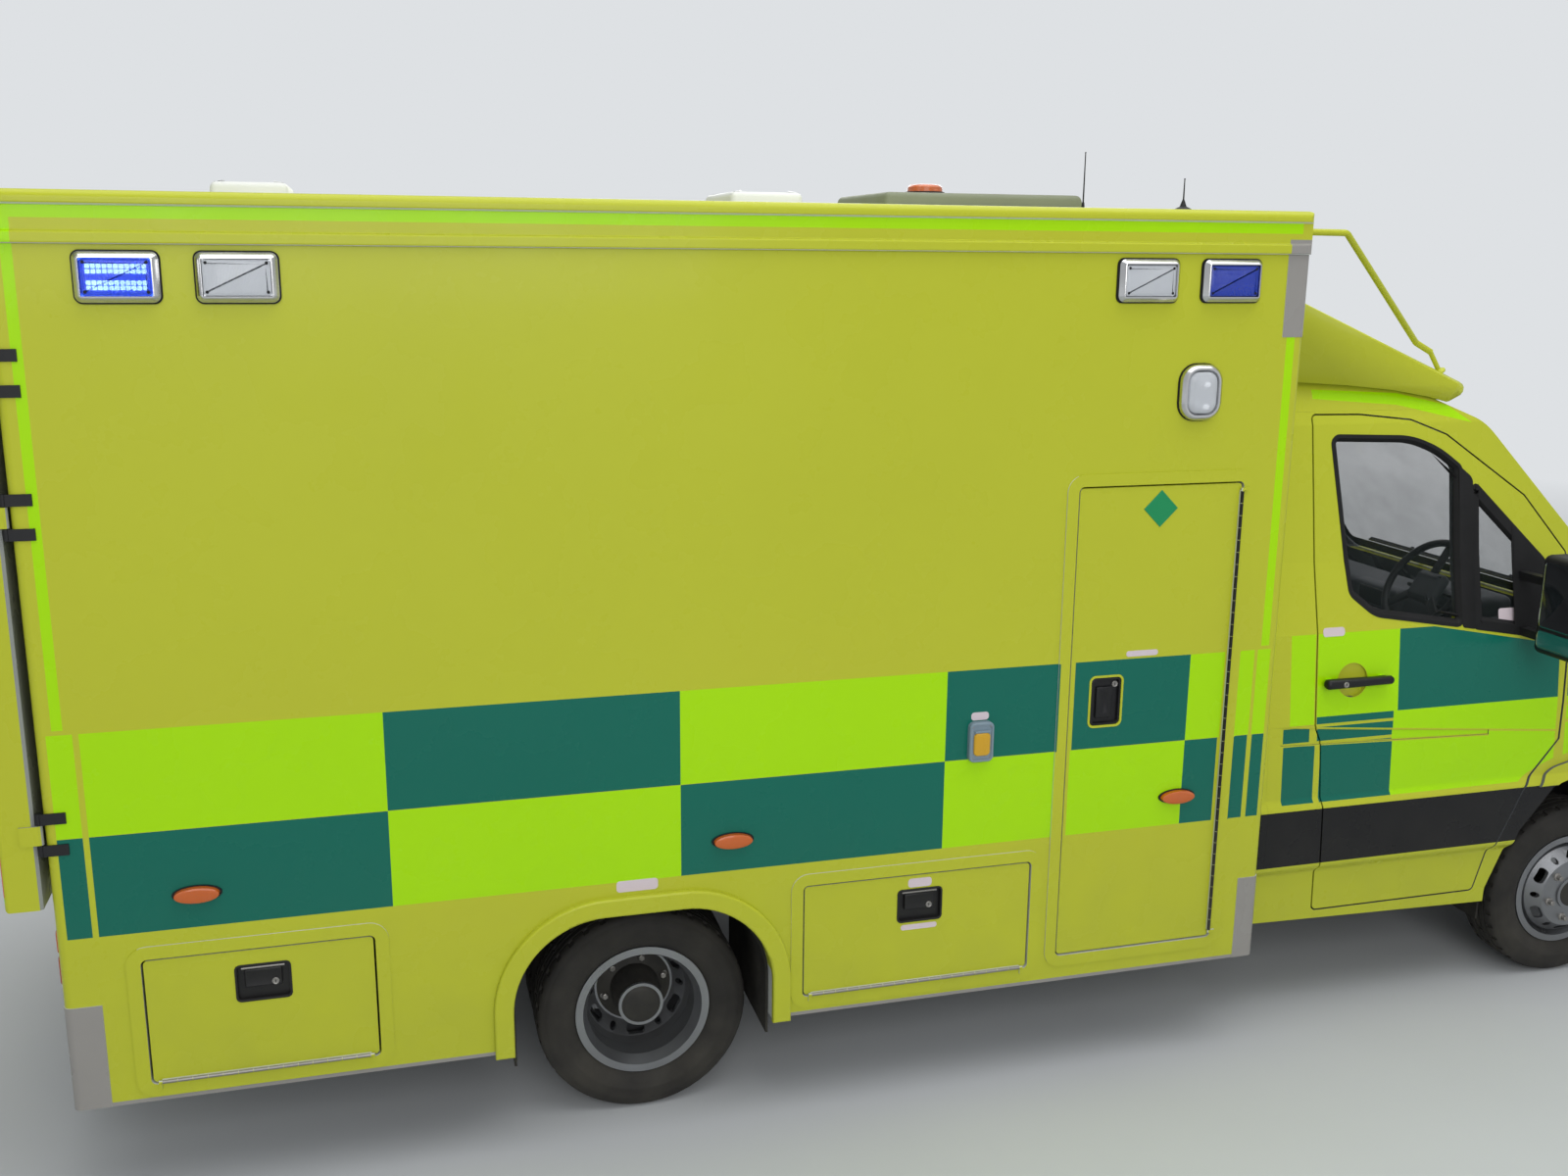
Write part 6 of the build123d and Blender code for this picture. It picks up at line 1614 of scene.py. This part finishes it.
weave, tree, shader, place = new_finish("seat_cloth")
threads = []
for turn in (0.0, radians(90)):
    mapping = added(tree, "Mapping", {"Vector": place, "Rotation": (radians(35), turn, radians(20))})
    wave = added(tree, "TexWave", {"Scale": 110.0, "Distortion": 1.2, "Vector": mapping.outputs[0]})
    threads.append(wave.outputs["Fac"])
cross = maths(tree, "MULTIPLY", threads[0], threads[1])
cloth_colour = mixed(tree, cross, screen(34, 36, 42), screen(66, 70, 80))
worn = ranged(tree, noise(tree, place, 5.0), 0.3, 0.7, 0.0, 0.25)
wired(tree, shader, {"Base Color": mixed(tree, worn, cloth_colour, screen(28, 30, 34)),
                     "Roughness": 0.9, "Sheen Weight": 0.25})
skin(tree, shader, cross, 0.0005)


def stuffed(name, low, high, seams, shape=None):
    """A pad between two corners; seams are (axis, place) grooves round its skin."""
    low, high = Vector(low), Vector(high)
    inset = Vector((SWELL, SWELL, SWELL))
    pad = slab(name, low + inset, high - inset, 0.022, 3)
    remesh = pad.modifiers.new("even", "REMESH")
    remesh.mode = "VOXEL"
    remesh.voxel_size = SEAT_VOXEL
    select_only(pad)
    bpy.ops.object.modifier_apply(modifier=remesh.name)
    blow_up(pad)
    for axis in range(3):
        places = [vertex.co[axis] for vertex in pad.data.vertices]
        lowest = min(places)
        stretch = (high[axis] - low[axis]) / (max(places) - lowest)
        for vertex in pad.data.vertices:
            vertex.co[axis] = low[axis] + (vertex.co[axis] - lowest) * stretch
    for axis, middle in seams:
        for vertex in pad.data.vertices:
            away = abs(vertex.co[axis] - middle) / SEAM_WIDE
            if away < 1.0:
                vertex.co -= vertex.normal * SEAM_DEEP * (1.0 - away * away) ** 2
    if shape:
        for vertex in pad.data.vertices:
            vertex.co = shape(vertex.co)
    round_off = pad.modifiers.new("fine", "SUBSURF")
    round_off.levels = 1
    round_off.render_levels = 1
    select_only(pad)
    bpy.ops.object.modifier_apply(modifier=round_off.name)
    return painted_with(pad, weave)


def blow_up(pad):
    """Cloth under pressure for twenty frames, its moves held to the swell."""
    rest = [vertex.co.copy() for vertex in pad.data.vertices]
    cloth = pad.modifiers.new("stuffing", "CLOTH")
    cloth.settings.use_pressure = True
    cloth.settings.uniform_pressure_force = PRESSURE
    cloth.settings.effector_weights.gravity = 0.0
    cloth.point_cache.frame_start = 1
    cloth.point_cache.frame_end = LAST_FRAME
    scene = bpy.context.scene
    for frame_number in range(1, LAST_FRAME + 1):
        scene.frame_set(frame_number)
    blown = pad.evaluated_get(bpy.context.evaluated_depsgraph_get())
    moved = [vertex.co.copy() for vertex in blown.data.vertices]
    pad.modifiers.remove(cloth)
    for vertex, before, after in zip(pad.data.vertices, rest, moved):
        step = after - before
        vertex.co = before + step * min(1.0, SWELL / max(step.length, 0.00001))
    scene.frame_set(1)


def leaning_back(place):
    """Leans the upright backrest and thins it towards its top."""
    rise = (place.z - 1.0) / 0.66
    rear = along(2.520) - 0.020 * rise
    share = (place.x - along(2.520)) / 0.130
    return Vector((rear + share * (0.130 - 0.030 * rise), place.y, place.z))


print("voxel", SEAT_VOXEL, "m, largest move", SWELL, "m")

# %% Two cab seats
pads = {
    "cushion": stuffed("cushion", (along(2.652), -0.250, 0.930), (along(3.120), 0.250, 1.060),
                       [(1, -0.160), (1, 0.160), (0, along(2.960))]),
    "back": stuffed("back", (along(2.520), -0.240, 1.000), (along(2.650), 0.240, 1.660),
                    [(1, -0.150), (1, 0.150), (2, 1.280)], leaning_back),
    "head": stuffed("head", (along(2.480), -0.130, 1.690), (along(2.580), 0.130, 1.860), []),
}
base = [softened("box", (along(2.662), -0.208, 0.602), (along(3.078), 0.208, 0.800), 0.016,
                 CABIN_WITH_PAINTED_LIGHT),
        softened("pan", (along(2.670), -0.200, 0.798), (along(3.070), 0.200, 0.929), 0.020,
                 PLASTIC)]
for way in (-1.0, 1.0):
    low, high = sorted((way * 0.2520, way * 0.2600))
    base.append(softened("bracket", (along(2.590), low, 0.900), (along(2.690), high, 1.120), 0.003,
                         PLASTIC))
    low, high = sorted((way * 0.190, way * 0.2590))
    base.append(softened("foot", (along(2.600), low, 0.902), (along(2.680), high, 0.926), 0.004,
                         PLASTIC))
for y in (-0.060, 0.060):
    base.append(turned("stem", [(0.0, 0.0005), (0.0, 0.0078), (0.058, 0.0078), (0.058, 0.0005)],
                       (along(2.540), y, 1.642), axis=UP, steps=16, material=BRIGHT))
base.append(turned("knob", [(0.0, 0.0005), (0.0, 0.020), (0.012, 0.018), (0.014, 0.0005)],
                   (along(2.690), 0.208, 0.860), steps=20, material=PLASTIC))
seat_base = joined("seat_base", base)
for side, y in (("left", 0.430), ("right", DRIVER_Y)):
    frame_piece = done(twin(seat_base, f"seat_base_{side}", (0.0, y, 0.0)), None, "root")
    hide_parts("cab_seats")
    for label, pad in pads.items():
        copy = done(twin(pad, f"seat_{label}_{side}", (0.0, y, 0.0)), None, "root", 60.0)
        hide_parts("cab_seats")
for pattern in (seat_base, *pads.values()):
    bpy.data.objects.remove(pattern)
print("pads on each seat:", len(pads))

# %% [markdown]
# The headlamps are clear covers with bowls in black cans and an amber block inside. Fog lamps sit in
# the bumper, wipers rest low on the windscreen, and a black border is printed on the glass: a flat
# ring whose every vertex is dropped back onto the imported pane.
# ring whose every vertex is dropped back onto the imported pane.
# %% Headlamps and fog lamps
headlamp_glass = pane("headlamp_glass", screen(225, 230, 235), 0.93)
painted_with(nodes["headlamps"], headlamp_glass)
BOWLS = [(4.575, 0.585, 0.870, 0.050), (4.528, 0.700, 0.875, 0.046)]
for side, flip in (("right", False), ("left", True)):
    parts = []
    for x, y, z, radius in BOWLS:
        bowl_at = (along(x), -y, z)
        bowl = turned("bowl", [(0.0, radius), (0.003, radius + 0.003), (0.0, radius + 0.005),
                               (-0.004, radius), (-0.020, radius * 0.72), (-0.030, radius * 0.30),
                               (-0.032, 0.0005)], bowl_at, axis=AHEAD, steps=40, material=reflector)
        bulb = turned("bulb", [(-0.030, 0.009), (-0.012, 0.009), (-0.008, 0.006), (-0.007, 0.0005)],
                      bowl_at, axis=AHEAD, steps=16, material=WHITE)
        can = turned("can", [(-0.003, radius + 0.006), (-0.021, radius * 0.72 + 0.006),
                             (-0.035, radius * 0.3 + 0.004), (-0.037, 0.0005)],
                     bowl_at, axis=AHEAD, steps=32, material=PLASTIC)
        parts += [bowl, bulb, can]
    parts.append(slab("amber", (along(4.415), -0.842, 0.860), (along(4.440), -0.790, 0.930), 0.010, 3,
                      material=amber_lens))
    lamp = joined(f"headlamp_insides_{side}", parts)
    done(twin_and_drop(lamp, f"headlamp_insides_{side}", flip=flip), None, "root")
    _, spot, out, _ = nodes["front_bumper"].ray_cast(Vector((4.0, -0.700, 0.430)), Vector((-1.0, 0.0, 0.0)))
    fog = turned("fog", [(-0.020, 0.0005), (-0.020, 0.030), (0.0015, 0.043), (0.0040, 0.046),
                         (0.0040, 0.052), (-0.006, 0.054)], spot, axis=out, steps=40, material=PLASTIC)
    glass = turned("glass", [(0.0, 0.041), (0.0025, 0.030), (0.0035, 0.0005)], spot, axis=out, steps=32,
                   material=clear_lens)
    fog = joined(f"fog_lamp_{side}", [fog, glass])
    done(twin_and_drop(fog, f"fog_lamp_{side}", flip=flip), None, "root")
print("bowls in each headlamp:", len(BOWLS))

# %% Windscreen border, wipers and mirror glass
SCREEN = [(-0.690, 2.120), (0.690, 2.120), (0.815, 1.385), (-0.815, 1.385)]
TO_FRONT = Matrix.Rotation(radians(90.0), 4, "Z")
PRINT_LIFT = 0.0008


def laid_on(piece, node, way, lift):
    """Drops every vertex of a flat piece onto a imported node, along a way."""
    way = Vector(way)
    for vertex in piece.data.vertices:
        struck, spot, _, _ = node.ray_cast(vertex.co - way * 3.0, way)
        if struck:
            vertex.co = spot - way * lift
    return piece


drawn = [(y + AXLE_TO_MIDDLE, z) for y, z in SCREEN]
flat_border = flat_trim("flat_border", grown(drawn, -0.004), 0.066, [(0.048, 0.0)], 0.0)
border = twin_and_drop(flat_border, "windscreen_border", turn=TO_FRONT)
done(laid_on(border, nodes["windscreen"], (-1.0, 0.0, 0.0), PRINT_LIFT), RUBBER, "root")
note = flat_trim("window_label", [(3.235, 1.494), (3.355, 1.494), (3.355, 1.445), (3.235, 1.445)], 0.004,
                 [(0.004, 0.0)], 0.0, hollow=False)
done(laid_on(note, nodes["cab_glass_right"], (0.0, 1.0, 0.0), PRINT_LIFT), label_pale, "cab_door_right")
for side, y in (("left", 0.330), ("right", -0.290)):
    blade = [softened("rubber", (-0.004, -0.290, 0.0), (0.004, 0.290, 0.012), 0.0015, RUBBER),
             softened("spine", (-0.007, -0.285, 0.011), (0.007, 0.285, 0.018), 0.003, PLASTIC),
             softened("arm", (-0.150, -0.009, 0.018), (0.006, 0.009, 0.028), 0.004, PLASTIC)]
    blade.append(turned("foot", [(-0.008, 0.0005), (-0.008, 0.018), (0.028, 0.016), (0.032, 0.012),
                                 (0.034, 0.0005)], (-0.142, 0.0, 0.0), axis=UP, steps=20, material=PLASTIC))
    lying = joined("lying", blade)
    lying.data.transform(Matrix.Rotation(pi, 4, "Z"))
    wiper = twin_and_drop(lying, f"wiper_{side}", (along(3.8165), y, 1.4427),
                          turn=Matrix.Rotation(radians(50.0), 4, "Y"))
    done(wiper, None, "root")
mirror_silver = finish("mirror_silver", screen(190, 196, 200), 0.05, 1.0, 0.05, 0.02, 900.0, 0.00001,
                       waver=0.02)
for side, way in SIDES:
    for label, low, high in (("main", 1.462, 1.700), ("wide", 1.384, 1.452)):
        glass = plate("glass", (-0.098, 0.098), (low - 1.540, high - 1.540), (0.0, 0.0022), 0.018,
                      mirror_silver)
        step_face(glass, (0.0030, 0.0010), (0.0015, -0.0008))
        facing_rear(glass, f"mirror_glass_{label}_{side}", f"cab_door_{side}",
                    (along(3.2800), way * 1.150, 1.540))
print("wipers, border and mirror glass in place")

# %% [markdown]
# ## Floor, backdrop and light
# The vehicle stands on a pale round floor. Where the floor runs out to its rim, its material passes
# over into the pale studio behind it, so no edge shows. One wide lamp overhead, one large soft lamp
# on the camera's side and a weak one behind give plain light, and the world adds a little from
# everywhere.
# %% Stage
FLOOR_TONE = screen(196, 199, 201)
STUDIO_TONE = screen(222, 225, 228)
FLOOR_NEAR = 6.0
FLOOR_RIM = 16.0
FLOOR_RADIUS = 60.0
def seen_by_camera(tree, path):
    """1 on the rays that the camera sees: directly, in a mirror or through glass."""
    seen = maths(tree, "MAXIMUM", path.outputs["Is Camera Ray"], path.outputs["Is Glossy Ray"])
    return maths(tree, "MAXIMUM", seen, path.outputs["Is Transmission Ray"])


stage_material, tree, shader, place = new_finish("studio_paper")
tone = ranged(tree, noise(tree, place, 0.8), 0.3, 0.7, 0.0, 0.04)
wired(tree, shader, {"Base Color": mixed(tree, tone, FLOOR_TONE, BLACKEST), "Roughness": 0.8})
far = added(tree, "VectorMath", {0: place}, operation="LENGTH")
fade = ranged(tree, far.outputs["Value"], FLOOR_NEAR, FLOOR_RIM, 0.0, 1.0)
glow = added(tree, "Emission", {"Color": STUDIO_TONE})
seen = seen_by_camera(tree, added(tree, "LightPath", {}))
blend(tree, maths(tree, "MULTIPLY", fade, seen), shader.outputs[0], glow.outputs[0])

clear_selection()
bpy.ops.mesh.primitive_circle_add(vertices=96, radius=FLOOR_RADIUS, fill_type="NGON", location=ORIGIN)
floor = bpy.context.object
floor.name = "studio_floor"
floor.data.materials.append(stage_material)
print("floor", floor.dimensions.x, "m across")

# %% Lamps and world


def soft_lamp(name, place, target, size, power):
    """A square area lamp that faces a target."""
    data = bpy.data.lights.new(name, "AREA")
    data.size = size
    data.energy = power
    lamp = bpy.data.objects.new(name, data)
    bpy.context.scene.collection.objects.link(lamp)
    lamp.location = place
    lamp.rotation_euler = (Vector(target) - Vector(place)).to_track_quat("-Z", "Y").to_euler()
    return lamp


soft_lamp("lamp_overhead", (0.5, -1.0, 10.0), (0.0, 0.0, 1.0), 11.0, 760.0)
soft_lamp("lamp_near_side", (-2.0, -13.0, 6.0), (0.0, 0.0, 1.4), 8.0, 620.0)
soft_lamp("lamp_far_side", (4.0, 13.0, 7.0), (0.0, 0.0, 1.4), 8.0, 420.0)

world = bpy.data.worlds.new("studio_world")
bpy.context.scene.world = world
world.use_nodes = True
sky = world.node_tree
background = sky.nodes["Background"]
background.inputs["Color"].default_value = STUDIO_TONE
path = added(sky, "LightPath", {})
seen = seen_by_camera(sky, path)
bright = ranged(sky, seen, 0.0, 1.0, 0.50, 1.0)
mirrored = maths(sky, "MULTIPLY", path.outputs["Is Glossy Ray"], 0.25)
sky.links.new(maths(sky, "SUBTRACT", bright, mirrored), background.inputs["Strength"])
bpy.context.scene.view_settings.view_transform = "Standard"
